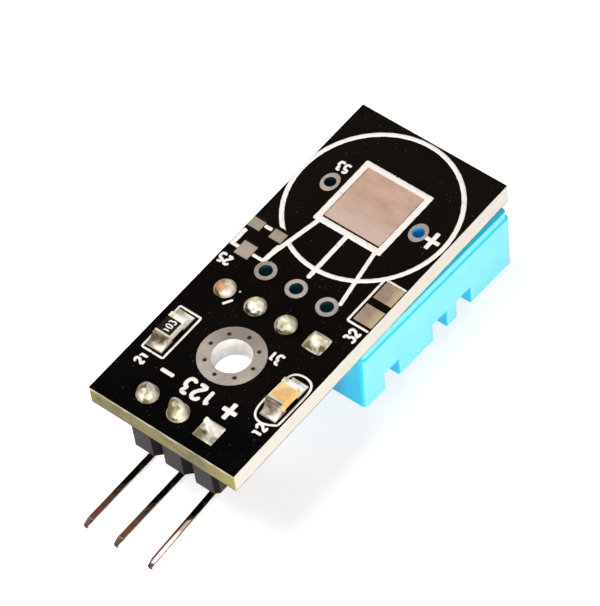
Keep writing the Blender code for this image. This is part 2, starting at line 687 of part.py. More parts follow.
BOARD_FINISH = new_material("black_board", (0.012, 0.010, 0.009), 0.28)
COPPER_FINISH = new_material("tinned_copper", (0.50, 0.40, 0.34), 0.42, 0.8)
BARE_COPPER_FINISH = new_material("bare_copper", (0.56, 0.38, 0.28), 0.45, 0.7)
SOLDER_FINISH = new_material("solder", (0.72, 0.68, 0.60), 0.28, 1.0)
TIN_FINISH = new_material("tinned_cap", (0.62, 0.58, 0.52), 0.35, 1.0)
PIN_FINISH = new_material("pin_metal", (0.30, 0.18, 0.12), 0.3, 1.0)
LEAD_FINISH = new_material("lead_metal", (0.62, 0.60, 0.57), 0.32, 1.0)
STRIP_FINISH = new_material("header_plastic", (0.045, 0.045, 0.05), 0.5)
BLUE_FINISH = new_material("blue_plastic", (0.05, 0.52, 0.86), 0.42)
INNER_BOARD_FINISH = new_material("inner_board_green", (0.05, 0.20, 0.10), 0.45)
PLATE_FINISH = new_material("sensing_ceramic", (0.62, 0.60, 0.55), 0.7)
THERMISTOR_FINISH = new_material("thermistor_body", (0.10, 0.06, 0.04), 0.5)
CHIP_FINISH = new_material("moulded_black", (0.02, 0.02, 0.022), 0.45)
RESISTOR_FINISH = new_material("resistor_black", (0.025, 0.023, 0.022), 0.4)
CAPACITOR_FINISH = new_material("capacitor_tan", (0.62, 0.36, 0.16), 0.5)

# The lowest point is the far edge of the sensor's tilted front, or a drooping pin's tip. The ends are the
# pin tips and the far edge of the sensor's shell or of the board.
SLOPE, SQUARE = math.sin(SENSOR_TILT), math.cos(SENSOR_TILT)
FRONT_LEVEL = -SENSOR_GAP - SENSOR_LENGTH * SLOPE - SENSOR_DEPTH * SQUARE
TIP_LEVEL = PIN_LEVEL - max(PIN_REACHES) * math.tan(max(PIN_DROOPS)) - PIN_SIDE / 2
LOWEST = min(FRONT_LEVEL, TIP_LEVEL)
FAR_END = max(BOARD_LENGTH, SENSOR_Y + SENSOR_LENGTH * SQUARE + SHELL_TOP * SLOPE)
NEAR_END = HEADER_Y - max(PIN_REACHES)
BOARD_FRAME = new_frame("board_frame", (0, -(NEAR_END + FAR_END) / 2, -LOWEST))
SENSOR_FRAME = new_frame("sensor_frame", (0, SENSOR_Y, -SENSOR_GAP), BOARD_FRAME)
SENSOR_FRAME.rotation_euler = (-SENSOR_TILT, 0, 0)

circuit_board()
screw_ring()
spare_holes()
bare_pads()
chip_part("resistor", -BOARD_WIDTH / 2 + RESISTOR_EDGE, RESISTOR_HEIGHT, RESISTOR_FINISH)
chip_part("capacitor", BOARD_WIDTH / 2 - CAPACITOR_EDGE, CAPACITOR_HEIGHT, CAPACITOR_FINISH)
header_strip()
header_pins()
header_joints()
sensor_shell()
sensor_cover()
sensor_inside()
sensor_leads()
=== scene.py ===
# %% [markdown]
# A small sensor module, dressed for its picture
#
# The module is a black circuit board, 12 by 28 mm. A blue slotted sensor lies under its far half and three
# bent pins leave its near end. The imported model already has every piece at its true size, so this lesson
# adds what a camera sees: the finishes, the white print on the board, smooth solder and soft plastic edges.
#
# Lengths are millimetres in the board's own frame: X from its middle line, Y from the end with the pins and
# Z up from its underside. One function turns them into the metres that Blender works in.

# %% The frame
import math

import bmesh
import bpy
import numpy as np
from mathutils import Matrix, Vector


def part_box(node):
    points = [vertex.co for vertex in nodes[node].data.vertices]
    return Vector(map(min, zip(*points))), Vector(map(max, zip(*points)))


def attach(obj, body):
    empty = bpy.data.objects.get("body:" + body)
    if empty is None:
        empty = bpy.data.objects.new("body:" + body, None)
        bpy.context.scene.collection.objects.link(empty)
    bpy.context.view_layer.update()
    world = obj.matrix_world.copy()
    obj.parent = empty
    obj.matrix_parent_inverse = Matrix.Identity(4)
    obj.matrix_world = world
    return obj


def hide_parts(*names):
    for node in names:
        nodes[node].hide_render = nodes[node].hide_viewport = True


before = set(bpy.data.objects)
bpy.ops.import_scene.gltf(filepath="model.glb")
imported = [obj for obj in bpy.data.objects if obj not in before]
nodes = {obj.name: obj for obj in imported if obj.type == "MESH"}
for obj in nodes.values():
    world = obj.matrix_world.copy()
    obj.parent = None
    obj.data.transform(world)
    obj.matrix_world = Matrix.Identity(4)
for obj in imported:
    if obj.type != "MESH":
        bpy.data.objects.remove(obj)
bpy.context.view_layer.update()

MM = 0.001


def box_mm(node, origin=(0.0, 0.0, 0.0)):
    """A node's lowest and highest corners in millimetres, measured from an origin."""
    low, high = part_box(node)
    return np.array(low) / MM - origin, np.array(high) / MM - origin


corner_low, corner_high = box_mm("circuit_board")
ORIGIN = np.array([(corner_low[0] + corner_high[0]) / 2, corner_low[1], corner_low[2]])
board_low, board_high = box_mm("circuit_board", ORIGIN)
HALF_WIDTH, LENGTH, THICKNESS = board_high
SCREW_CENTRE = sum(box_mm("screw_ring", ORIGIN))[:2] / 2
print("board", np.round(board_high - board_low, 3), "mm, screw hole at", np.round(SCREW_CENTRE, 3), "mm")


# %% [markdown]
# The camera stands where the photographer's stood. Four things fix it: the point it looks at on the board's
# top, the direction back towards it, the distance, and a roll, because the photographer held it askew. The
# lens is long, about 265 mm on a 36 mm wide picture, which is why the board's long edges look parallel.

# %% The camera
AIM = np.array([0.8975, 12.8753, 1.6])
AZIMUTH, ELEVATION, ROLL = (math.radians(a) for a in (46.644, 52.873, -9.436))
DISTANCE = 282.66
LENS, PICTURE_WIDTH = 265.07, 36.0


def to_metres(points):
    """Board millimetres to world metres: the board's corner is added, then all is turned into metres."""
    return (np.asarray(points, float) + ORIGIN) * MM


def look_from(azimuth, elevation, roll):
    """The camera's turn: its back along the given direction, its right level, then a roll about it."""
    back = Vector((
        math.sin(azimuth) * math.cos(elevation),
        -math.cos(azimuth) * math.cos(elevation),
        math.sin(elevation),
    ))
    level_right = Vector((0, 0, 1)).cross(back).normalized()
    level_up = back.cross(level_right)
    right = level_right * math.cos(roll) + level_up * math.sin(roll)
    up = back.cross(right)
    return Matrix((right, up, back)).transposed(), back


turn, back = look_from(AZIMUTH, ELEVATION, ROLL)
camera = bpy.data.objects.new("camera", bpy.data.cameras.new("camera"))
bpy.context.scene.collection.objects.link(camera)
camera.data.sensor_fit = "HORIZONTAL"
camera.data.sensor_width = PICTURE_WIDTH
camera.data.lens = LENS
camera.data.clip_start, camera.data.clip_end = 0.02, 20.0
camera.matrix_world = Matrix.Translation(Vector(to_metres(AIM)) + back * DISTANCE * MM) @ turn.to_4x4()
bpy.context.scene.camera = camera
bpy.context.scene.view_settings.view_transform = "Standard"
print("camera at", np.round(np.array(camera.location), 4), "m")


# %% [markdown]
# A node material is a small graph. Writing each node on one line keeps the graphs short enough to read: an
# input is either a plain value, which is set on the socket, or another node's output, which is linked.

# %% Helpers for materials
def add_node(tree, kind, inputs=None, **settings):
    """Adds one shader node. Inputs are given by name as plain values or as the sockets that feed them."""
    made = tree.nodes.new("ShaderNode" + kind)
    for key, value in settings.items():
        setattr(made, key, value)
    for key, value in (inputs or {}).items():
        if isinstance(value, bpy.types.NodeSocket):
            tree.links.new(value, made.inputs[key])
        else:
            made.inputs[key].default_value = value
    return made


def new_finish(name, **values):
    """A material whose Principled shader has these values, its tree, and its place in board millimetres."""
    made = bpy.data.materials.new(name)
    made.use_nodes = True
    tree = made.node_tree
    shader = tree.nodes["Principled BSDF"]
    for key, value in values.items():
        shader.inputs[key.replace("_", " ")].default_value = value
    coordinates = add_node(tree, "TexCoord").outputs["Object"]
    spread = add_node(tree, "Mapping", {"Vector": coordinates, "Scale": (1 / MM,) * 3, "Location": -ORIGIN})
    return made, tree, shader, spread.outputs["Vector"]


def noise(tree, vector, scale, detail=2.0, roughness=0.5):
    """Soft noise from 0 to 1, with so many features to a millimetre as its scale says."""
    inputs = {"Vector": vector, "Scale": scale, "Detail": detail, "Roughness": roughness}
    return add_node(tree, "TexNoise", inputs).outputs["Fac"]


def stretched(tree, vector, scale):
    """The same coordinates, multiplied by a scale of their own on each axis."""
    return add_node(tree, "Mapping", {"Vector": vector, "Scale": scale}).outputs["Vector"]


def axes(tree, vector):
    """A vector's X, Y and Z as outputs of their own."""
    return add_node(tree, "SeparateXYZ", {"Vector": vector}).outputs


def facing(tree):
    """The X, Y and Z of the direction that the surface faces."""
    return axes(tree, add_node(tree, "NewGeometry").outputs["Normal"])


def distance(tree, vector, point):
    """How far a place is from a point."""
    return add_node(tree, "VectorMath", {0: vector, 1: point}, operation="DISTANCE").outputs["Value"]


def ramp(tree, factor, *stops):
    """A colour ramp through (position, colour) stops."""
    made = add_node(tree, "ValToRGB", {"Fac": factor})
    elements = made.color_ramp.elements
    for element, (position, colour) in zip((elements[0], elements[1]), (stops[0], stops[-1])):
        element.position, element.color = position, (*colour, 1.0)
    for position, colour in stops[1:-1]:
        elements.new(position).color = (*colour, 1.0)
    return made.outputs["Color"]


def mix(tree, factor, first, second):
    """A blend of two colours: the first at factor 0, the second at factor 1."""
    made = add_node(tree, "Mix", data_type="RGBA")
    for socket, value in ((made.inputs[0], factor), (made.inputs[6], first), (made.inputs[7], second)):
        if isinstance(value, bpy.types.NodeSocket):
            tree.links.new(value, socket)
        else:
            socket.default_value = value if isinstance(value, float) else (*value, 1.0)
    return made.outputs[2]


def number(tree, operation, first, second=0.0, third=0.0):
    """A Math node on values or sockets."""
    return add_node(tree, "Math", {0: first, 1: second, 2: third}, operation=operation).outputs[0]


def times(tree, first, second):
    """One value times another."""
    return number(tree, "MULTIPLY", first, second)


def plus(tree, first, second):
    """The sum of two values."""
    return number(tree, "ADD", first, second)


def magnitude(tree, value):
    """A value without its sign."""
    return number(tree, "ABSOLUTE", value)


def fade(tree, value, low, high):
    """0 where a value is at the first level or short of it, 1 where it is at the second or past it."""
    return add_node(tree, "MapRange", {"Value": value, "From Min": low, "From Max": high}).outputs["Result"]


def spread_between(tree, factor, low, high):
    """A factor from 0 to 1 laid out between two values."""
    return add_node(tree, "MapRange", {"Value": factor, "To Min": low, "To Max": high}).outputs["Result"]


def raise_surface(tree, shader, height, depth_mm, strength=1.0):
    """A bump of a given depth in millimetres, fed to the shader's normal."""
    made = add_node(tree, "Bump", {"Height": height, "Distance": depth_mm * MM, "Strength": strength})
    tree.links.new(made.outputs["Normal"], shader.inputs["Normal"])


def feed(tree, shader, **sockets):
    """Links outputs to the shader's inputs, which are named with underscores for spaces."""
    for key, socket in sockets.items():
        tree.links.new(socket, shader.inputs[key.replace("_", " ")])


# %% [markdown]
# The photograph was lit by a large soft light on the right, so the board's right edge and the blue side are
# almost white, while the ends that face the camera's left stay half dark. Flat things on the board mirror a
# dim part of the room, which keeps the board black. So the room's ceiling is dim, and two big soft boxes do
# the work: one on the right, low, and a level one overhead. The overhead one ends just short of what the
# level surfaces mirror, so only the pin that droops catches it. The floor is clear to a camera below it, so
# that the module's underside can be looked at too.

# %% Floor, world and lights
FLOOR_SIDE = 4.0
FLOOR_GLOW = 0.55
CEILING = (0.17, 0.12, 0.095)
WALL_TOP = (0.38, 0.28)
WHITE = (1.0, 1.0, 1.0)


def seen_directly(tree):
    """1 for rays from the camera or sent on by metal and glass, 0 for the rays that light things."""
    rays = add_node(tree, "LightPath").outputs
    shiny = number(tree, "MAXIMUM", rays["Is Glossy Ray"], rays["Is Transmission Ray"])
    return number(tree, "MAXIMUM", rays["Is Camera Ray"], shiny)


def pale_floor():
    """A square of pale paper on the ground, a little brighter to the eye than to what it lights."""
    half = FLOOR_SIDE / 2
    mesh = bpy.data.meshes.new("floor")
    corners = [(-half, -half, 0), (half, -half, 0), (half, half, 0), (-half, half, 0)]
    mesh.from_pydata(corners, [], [(0, 1, 2, 3)])
    floor = bpy.data.objects.new("floor", mesh)
    bpy.context.scene.collection.objects.link(floor)
    made, tree, shader, vector = new_finish("pale_paper", Roughness=0.9, Specular_IOR_Level=0.1)
    grain = noise(tree, vector, 0.8, 3.0)
    feed(tree, shader, Base_Color=ramp(tree, grain, (0.3, (0.80, 0.80, 0.79)), (0.7, (0.84, 0.84, 0.83))))
    feed(tree, shader, Emission_Strength=times(tree, seen_directly(tree), FLOOR_GLOW))
    shader.inputs["Emission Color"].default_value = (*WHITE, 1.0)
    from_below = add_node(tree, "NewGeometry").outputs["Backfacing"]
    looked_at = times(tree, from_below, add_node(tree, "LightPath").outputs["Is Camera Ray"])
    clear = add_node(tree, "BsdfTransparent").outputs["BSDF"]
    both = add_node(tree, "MixShader", {0: looked_at, 1: shader.outputs["BSDF"], 2: clear})
    output = next(node for node in tree.nodes if node.type == "OUTPUT_MATERIAL")
    tree.links.new(both.outputs["Shader"], output.inputs["Surface"])
    mesh.materials.append(made)


def dim_room():
    """The world: pale walls low down, where they are seen or mirrored, and a dim warm ceiling above."""
    world = bpy.data.worlds.new("room")
    world.use_nodes = True
    bpy.context.scene.world = world
    tree = world.node_tree
    height = axes(tree, add_node(tree, "TexCoord").outputs["Generated"])["Z"]
    wall = times(tree, fade(tree, height, *WALL_TOP), seen_directly(tree))
    eye = add_node(tree, "LightPath").outputs["Is Camera Ray"]
    colour = mix(tree, number(tree, "MAXIMUM", wall, eye), CEILING, WHITE)
    tree.links.new(colour, tree.nodes["Background"].inputs["Color"])


def soft_box(name, place_mm, size_mm, power, turned=True):
    """A rectangular area light at a place measured from the module's middle, facing it or straight down."""
    lamp = bpy.data.lights.new(name, "AREA")
    lamp.shape = "RECTANGLE"
    lamp.size, lamp.size_y = size_mm[0] * MM, size_mm[1] * MM
    lamp.energy = power
    made = bpy.data.objects.new(name, lamp)
    bpy.context.scene.collection.objects.link(made)
    made.location = Vector(to_metres((0, LENGTH / 2, 0))) + Vector(place_mm) * MM
    made.visible_camera = False
    if turned:
        made.rotation_mode = "QUATERNION"
        made.rotation_quaternion = Vector(place_mm).to_track_quat("Z", "Y")


pale_floor()
dim_room()
soft_box("right_box", (215, -145, 62), (240, 160), 0.84)
soft_box("overhead_box", (-175, -41, 230), (310, 168), 0.9, turned=False)


# %% [markdown]
# Every new piece is a stack of rings. A ring is a loop of points, and neighbouring rings are joined by
# four-sided faces. Closing the first and last ring makes one closed body, whatever its shape, so solder,
# print and plated holes can all come from the same few lines. A piece may hold several such bodies.

# %% Helpers for pieces
def ring_faces(rows, columns, joined):
    """Quads from ring r to ring r + 1 and from point c to point c + 1, each ring wrapping round."""
    r = np.arange(rows if joined else rows - 1)[:, None]
    c = np.arange(columns)[None, :]
    over, beside = (r + 1) % rows, (c + 1) % columns
    corners = (r * columns + c, r * columns + beside, over * columns + beside, over * columns + c)
    return np.stack(np.broadcast_arrays(*corners), -1).reshape(-1, 4)


def face_outwards(mesh):
    """Turns every face of a mesh of closed bodies to point out."""
    bm = bmesh.new()
    bm.from_mesh(mesh)
    bmesh.ops.recalc_face_normals(bm, faces=bm.faces)
    bm.to_mesh(mesh)
    bm.free()


def finish_mesh(name, mesh, finish, replaces, sharp):
    """Makes a mesh a piece that rides with the module, shades it smooth and gives it its finish."""
    face_outwards(mesh)
    mesh.shade_smooth()
    mesh.set_sharp_from_angle(angle=math.radians(sharp))
    mesh.materials.clear()
    mesh.materials.append(finish)
    piece = bpy.data.objects.new(name, mesh)
    bpy.context.scene.collection.objects.link(piece)
    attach(piece, "root")
    if replaces:
        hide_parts(*replaces)
    return piece


def add_piece(name, bodies, finish, replaces=(), joined=False, sharp=40):
    """A piece from stacks of rings in board millimetres, each an array (rings, points, 3).

    A stack's two end rings are each closed by a face, or joined to each other where joined is true.
    """
    points, faces, start = [], [], 0
    for rings in bodies:
        rows, columns = rings.shape[:2]
        quads = ring_faces(rows, columns, joined) + start
        faces += quads.tolist()
        if not joined:
            last = start + (rows - 1) * columns
            faces += [list(range(start, start + columns)), list(range(last, last + columns))]
        points.append(rings.reshape(-1, 3))
        start += rows * columns
    mesh = bpy.data.meshes.new(name)
    mesh.from_pydata(to_metres(np.concatenate(points)).tolist(), [], faces)
    return finish_mesh(name, mesh, finish, replaces, sharp)


# %% [markdown]
# Circuit board edges show the laminate: pale woven glass in yellow resin, in thin layers, with the black
# mask as a skin on both faces. One material does both, by height: where a point lies within a hair of a
# face it is mask, and otherwise laminate. The long sides were routed and are dusty, and the ends were
# snapped off a larger sheet. The sides are painted white and the ends darker, as painted light and shade;
# the ends also have stains, one chipped pale line and a yellower right corner of painted light.
# The mask is smooth and almost black, browner towards the sensor, and it mirrors little. Round the screw
# hole it lies under the tinned ring, whose small holes show it as brown.

# %% Board finish
SKIN = 0.05
FACE = 0.004
# Lit and shaded copies of the laminate: the dark set for the ends is painted shade, the pale set for the sides
# painted light.
SHADED_SNAPPED_END = (0.3, (0.19, 0.17, 0.09)), (0.5, (0.26, 0.235, 0.12)), (0.72, (0.37, 0.34, 0.19))
LIT_ROUTED_SIDE = (0.3, (0.68, 0.65, 0.57)), (0.5, (0.71, 0.68, 0.61)), (0.7, (0.75, 0.73, 0.67))
CHIPPED = (THICKNESS - 0.28, THICKNESS - 0.14)
PAINTED_LIGHT_CORNER = (3.4, 5.8)
MASK_TURNS_BROWN = (-2.0, 26.0)
UNDER_RING = 2.2


def from_screw(tree, place):
    """How far a place is from the middle line of the screw hole."""
    return distance(tree, stretched(tree, place, (1.0, 1.0, 0.0)), (*SCREW_CENTRE, 0.0))


def laminate_colour(tree, place, spot, layers):
    """Snapped ends and routed sides, told apart by the way they face: sides painted pale as lit, ends dark as
    shaded.
    """
    # Painted shade: the ends start from the dark copy of the laminate.
    end_stains_and_shade = ramp(tree, layers, *SHADED_SNAPPED_END)
    stains = fade(tree, noise(tree, place, 0.7, 4.0, 0.6), 0.50, 0.62)
    end_stains_and_shade = mix(tree, times(tree, stains, 0.6), end_stains_and_shade, (0.15, 0.13, 0.115))
    # Painted light: the ends turn paler and yellower towards their right corner.
    end_stains_and_shade = mix(tree, fade(tree, spot["X"], *PAINTED_LIGHT_CORNER), end_stains_and_shade, (0.40, 0.345, 0.13))
    wander = spread_between(tree, noise(tree, place, 0.9, 3.0), -0.35, 0.35)
    chipped = fade(tree, plus(tree, spot["Z"], wander), *CHIPPED)
    end_stains_and_shade = mix(tree, chipped, end_stains_and_shade, (0.60, 0.57, 0.42))
    sideways = magnitude(tree, facing(tree)["X"])
    # Painted light: faces that turn sideways get the pale copy.
    return mix(tree, number(tree, "GREATER_THAN", sideways, 0.6), end_stains_and_shade, ramp(tree, layers, *LIT_ROUTED_SIDE))


def mask_colour(tree, place, spot):
    """Black that turns brown along the board, with specks of dust, and brown under the screw's ring."""
    broad = spread_between(tree, noise(tree, place, 0.16, 2.0), -0.5, 0.5)
    far_part = plus(tree, fade(tree, spot["Y"], *MASK_TURNS_BROWN), broad)
    mask = ramp(tree, far_part, (0.0, (0.0007, 0.0008, 0.0012)), (1.0, (0.0068, 0.0050, 0.0034)))
    dust = fade(tree, noise(tree, place, 9.0, 1.0), 0.77, 0.80)
    mask = mix(tree, times(tree, dust, 0.4), mask, (0.45, 0.43, 0.40))
    covered = number(tree, "LESS_THAN", from_screw(tree, place), UNDER_RING)
    return mix(tree, covered, mask, (0.05, 0.033, 0.02))


def board_finish():
    """Laminate between two skins of mask, whose edge towards the laminate is a little ragged."""
    made, tree, shader, place = new_finish("masked_board", Specular_IOR_Level=0.03)
    spot = axes(tree, place)
    ragged = spread_between(tree, noise(tree, place, 1.6, 4.0), -0.05, 0.05)
    from_middle = magnitude(tree, number(tree, "SUBTRACT", spot["Z"], THICKNESS / 2))
    in_skin = number(tree, "GREATER_THAN", plus(tree, from_middle, ragged), THICKNESS / 2 - SKIN)
    on_face = number(tree, "GREATER_THAN", from_middle, THICKNESS / 2 - FACE)
    is_mask = number(tree, "MAXIMUM", on_face, in_skin)
    layers = noise(tree, stretched(tree, place, (0.5, 0.5, 7.0)), 1.0, 3.0)
    peel = noise(tree, place, 2.2, 2.0)
    colour = mix(tree, is_mask, laminate_colour(tree, place, spot, layers), mask_colour(tree, place, spot))
    rough = mix(tree, is_mask, (0.75, 0.75, 0.75), spread_between(tree, peel, 0.22, 0.32))
    feed(tree, shader, Base_Color=colour, Roughness=rough)
    grain = plus(tree, times(tree, peel, 0.2), times(tree, layers, 0.6))
    raise_surface(tree, shader, grain, 0.02, 0.5)
    return made


# %% [markdown]
# Bare copper on this board has been tinned and then left in the air. It is a dull and spotted pinkish grey,
# and no mirror. The colours come from noise at two sizes: broad clouds for the tarnish, and fine grain that
# also roughens the surface. The big square is warmer, with faint streaks, and greyer at its near side. The
# pair of wide pads turns olive towards the board's edge, and the mask laps over the far edges of the three
# small ones, which is painted, because it is far thinner than a hair.

# %% Bare copper finishes
DULL_COPPER = (0.25, 0.205, 0.165), (0.46, 0.395, 0.32)
PLATE_TURNS_GREY = (21.8, 19.6)
OLIVE_EDGE = (5.3, 5.8)
PAIR_LAP = 16.62
LONE_LAP = (14.74, 15.3)


def tarnish(tree, place, tones, cloud, streak=(1.0, 1.0, 1.0)):
    """(colour, grain) of weathered tinned copper: clouds between two tones, and a fine grain."""
    along = stretched(tree, place, streak)
    clouds = noise(tree, along, cloud, 4.0, 0.6)
    grain = noise(tree, along, 9.0, 3.0, 0.6)
    blend = plus(tree, times(tree, clouds, 0.65), times(tree, grain, 0.35))
    return ramp(tree, blend, (0.36, tones[0]), (0.62, tones[1])), grain


def worn(tree, shader, colour, grain, smooth=0.36, rough=0.6):
    """Gives copper its colour, and lets its grain change the roughness and raise the surface by a hair."""
    feed(tree, shader, Base_Color=colour, Roughness=spread_between(tree, grain, smooth, rough))
    raise_surface(tree, shader, grain, 0.012, 0.6)


def copper_finish():
    """Dull tinned copper, for the pads that have nothing of their own."""
    made, tree, shader, place = new_finish("dull_copper", Metallic=0.2)
    worn(tree, shader, *tarnish(tree, place, DULL_COPPER, 0.6))
    return made


def plate_finish():
    """The bare plate: warm copper with streaks at its far side, and a greyer pink near the camera."""
    made, tree, shader, place = new_finish("bare_copper_plate", Metallic=0.2)
    tones = (0.45, 0.30, 0.22), (0.62, 0.425, 0.325)
    colour, grain = tarnish(tree, place, tones, 0.6, (0.8, 1.7, 1.0))
    wander = spread_between(tree, noise(tree, place, 0.6, 3.0), -1.2, 1.2)
    near = fade(tree, plus(tree, axes(tree, place)["Y"], wander), *PLATE_TURNS_GREY)
    colour = mix(tree, times(tree, near, 0.75), colour, (0.60, 0.48, 0.42))
    flecks = fade(tree, noise(tree, place, 5.0, 2.0), 0.70, 0.76)
    colour = mix(tree, times(tree, flecks, 0.5), colour, (0.80, 0.66, 0.50))
    worn(tree, shader, colour, grain, 0.38, 0.62)
    return made


def trio_finish():
    """The three small pads: dull copper, with the black mask lapping over their far edges."""
    made, tree, shader, place = new_finish("trio_pad_copper")
    colour, grain = tarnish(tree, place, DULL_COPPER, 0.2)
    along = axes(tree, place)["Y"]
    past_lap = number(tree, "GREATER_THAN", along, LONE_LAP[0])
    short_of_pair = number(tree, "LESS_THAN", along, LONE_LAP[1])
    lone_lap = times(tree, past_lap, short_of_pair)
    lap = number(tree, "MAXIMUM", number(tree, "GREATER_THAN", along, PAIR_LAP), lone_lap)
    feed(tree, shader, Metallic=number(tree, "MULTIPLY_ADD", lap, -0.6, 0.6))
    feed(tree, shader, Specular_IOR_Level=number(tree, "MULTIPLY_ADD", lap, -0.4, 0.5))
    worn(tree, shader, mix(tree, lap, colour, (0.003, 0.0025, 0.002)), grain, 0.3, 0.55)
    return made


def duo_finish():
    """The two wide pads: brownish pink, and olive towards the board's edge."""
    made, tree, shader, place = new_finish("duo_pad_tin", Metallic=0.2)
    colour, grain = tarnish(tree, place, ((0.21, 0.145, 0.105), (0.42, 0.315, 0.225)), 0.9)
    wander = spread_between(tree, noise(tree, place, 1.5, 3.0), -0.3, 0.3)
    olive = fade(tree, plus(tree, axes(tree, place)["X"], wander), *OLIVE_EDGE)
    colour = mix(tree, times(tree, olive, 0.75), colour, (0.50, 0.44, 0.24))
    worn(tree, shader, colour, grain, 0.4, 0.62)
    return made


# %% [markdown]
# A plated hole has a tarnished ring on each face and another colour inside. The barrel is painted with the
# blue of the sensor below, in painted shade for most holes and lit for the right oval one. Height tells the
# two apart. The screw hole is wide and lit through from below, so its barrel is pale and has a painted glow,
# and its small holes are brown. The far left part of its ring lies in painted shade.

# %% Plated hole finish
RING_TONES = (0.22, 0.188, 0.16), (0.48, 0.43, 0.375)
SMALL_HOLES_FROM = 1.55
SHADED_SIDE = (6.9, 8.8)
SCREW_BARREL = (0.95, 0.94, 0.90)
PAINTED_BARREL_GLOW = 0.1


def hole_finish(name, barrel, is_screw_hole=False):
    """Tarnished rings, and a barrel of another colour between the two faces."""
    made, tree, shader, place = new_finish(name, Metallic=0.15)
    colour, grain = tarnish(tree, place, RING_TONES, 0.35)
    spot = axes(tree, place)
    from_middle = magnitude(tree, number(tree, "SUBTRACT", spot["Z"], THICKNESS / 2))
    inside = number(tree, "LESS_THAN", from_middle, THICKNESS / 2 + 0.02)
    lining = ramp(tree, noise(tree, place, 2.5, 3.0), (0.3, [0.8 * v for v in barrel]), (0.7, barrel))
    if is_screw_hole:
        small_holes = number(tree, "GREATER_THAN", from_screw(tree, place), SMALL_HOLES_FROM)
        lining = mix(tree, small_holes, lining, (0.55, 0.38, 0.24))
        # Painted shade on the ring's far left part.
        aslant = number(tree, "MULTIPLY_ADD", spot["X"], -0.45, spot["Y"])
        shaded = times(tree, fade(tree, aslant, *SHADED_SIDE), 0.5)
        colour = mix(tree, shaded, colour, [0.6 * v for v in RING_TONES[0]])
        # A painted glow inside the screw hole's barrel, standing in for light from the floor.
        painted_glow = times(tree, inside, PAINTED_BARREL_GLOW)
        feed(tree, shader, Emission_Color=lining, Emission_Strength=painted_glow)
    worn(tree, shader, mix(tree, inside, colour, lining), grain)
    return made


# %% [markdown]
# The header's pins are square wire with a bright plating. On top it is painted brown, almost black near the
# strip: partly the plating's tint and partly painted reflection and shade from the board's dark underside.
# The cut tips are dark and rough. Such plating is nearly a mirror, so its colour only tints what it mirrors:
# the room, the board's end or a lamp. The right sides are painted bright and the others duller, as painted
# light and shade, or else the pins would be white on white from most sides. Only the third pin has a dark
# line of painted shade on its left.

# %% Pin and lead finishes
# Where the pins' tops turn from painted shade near the strip to brown.
PAINTED_SHADE_BY_STRIP = (-2.2, -3.7)
CUT_LENGTH, SHORT_CUT_LENGTH = 0.6, 0.34


def pin_finish(node):
    """Bright plating painted brown on top, near black by the strip as painted shade, and dark at the cut tip.
    """
    made, tree, shader, place = new_finish(node + "_plating", Metallic=1.0)
    low, high = box_mm(node, ORIGIN)
    tip, centre = low[1], (low[0] + high[0]) / 2
    spot, turned = axes(tree, place), facing(tree)
    patches = noise(tree, place, 1.2, 3.0)
    # Lit and shaded copies of the plating: the right sides get the bright one and the others the dull one, as
    # painted light and shade.
    bright = ramp(tree, patches, (0.35, (0.80, 0.76, 0.72)), (0.65, (0.92, 0.89, 0.86)))
    dull = ramp(tree, patches, (0.35, (0.34, 0.31, 0.28)), (0.65, (0.50, 0.46, 0.43)))
    sides = mix(tree, fade(tree, turned["X"], 0.5, 0.2), bright, dull)
    # The tops: brown, partly the plating's tint and partly painted reflection, and near black by the strip as
    # painted shade.
    brown = ramp(tree, patches, (0.35, (0.62, 0.40, 0.30)), (0.65, (0.90, 0.66, 0.52)))
    brown = mix(tree, fade(tree, spot["Y"], *PAINTED_SHADE_BY_STRIP), (0.10, 0.08, 0.072), brown)
    cut_length = CUT_LENGTH
    if node == "header_pin_right":
        cut_length = SHORT_CUT_LENGTH
        # A painted line of shade along the third pin's left edge.
        painted_shade_line = fade(tree, spot["X"], centre - 0.01, centre - 0.05)
        brown = mix(tree, painted_shade_line, brown, (0.055, 0.028, 0.030))
    on_top = times(tree, fade(tree, turned["Z"], 0.2, 0.5), fade(tree, turned["X"], 0.4, 0.15))
    colour = mix(tree, on_top, sides, brown)
    ragged = plus(tree, spot["Y"], spread_between(tree, patches, -0.1, 0.1))
    edge = tip + cut_length
    cut = times(tree, fade(tree, ragged, edge + 0.06, edge - 0.06), 0.95)
    end = times(tree, cut, fade(tree, turned["X"], 0.97, 0.85))
    polish = spread_between(tree, patches, 0.04, 0.07)
    feed(tree, shader, Base_Color=mix(tree, end, colour, (0.045, 0.034, 0.032)))
    feed(tree, shader, Roughness=mix(tree, end, polish, (0.5, 0.5, 0.5)))
    raise_surface(tree, shader, noise(tree, place, 0.5, 1.0), 0.002, 0.5)
    return made


def lead_finish():
    """The sensor's leads: pale tinned wire whose colour and gloss vary slowly."""
    made, tree, shader, place = new_finish("tinned_lead", Metallic=1.0)
    clouds = noise(tree, place, 1.5, 3.0)
    gloss = spread_between(tree, noise(tree, place, 6.0, 2.0), 0.175, 0.35)
    colour = ramp(tree, clouds, (0.35, (0.62, 0.58, 0.52)), (0.65, (0.86, 0.83, 0.78)))
    feed(tree, shader, Base_Color=colour, Roughness=gloss)
    raise_surface(tree, shader, clouds, 0.006, 0.6)
    return made


# %% [markdown]
# The blue shell is moulded in a slightly waxy plastic with a fine texture. Light goes a little way into it,
# which is subsurface scattering. Its long sides are painted pale and its short ones deep, paler towards the
# right, so the colour goes by the way a face turns: painted light and shade. Its narrow top gets a brighter
# blue and a painted glow. The black strip is filled with glass, so it is duller, and it is painted nearly
# black, as shade, in the notches between its pins. What lies inside the shell is plain.

# %% Plastic finishes
END_PAINTED_PALER = (3.6, 4.6)
PAINTED_SHELL_GLOW = 0.22


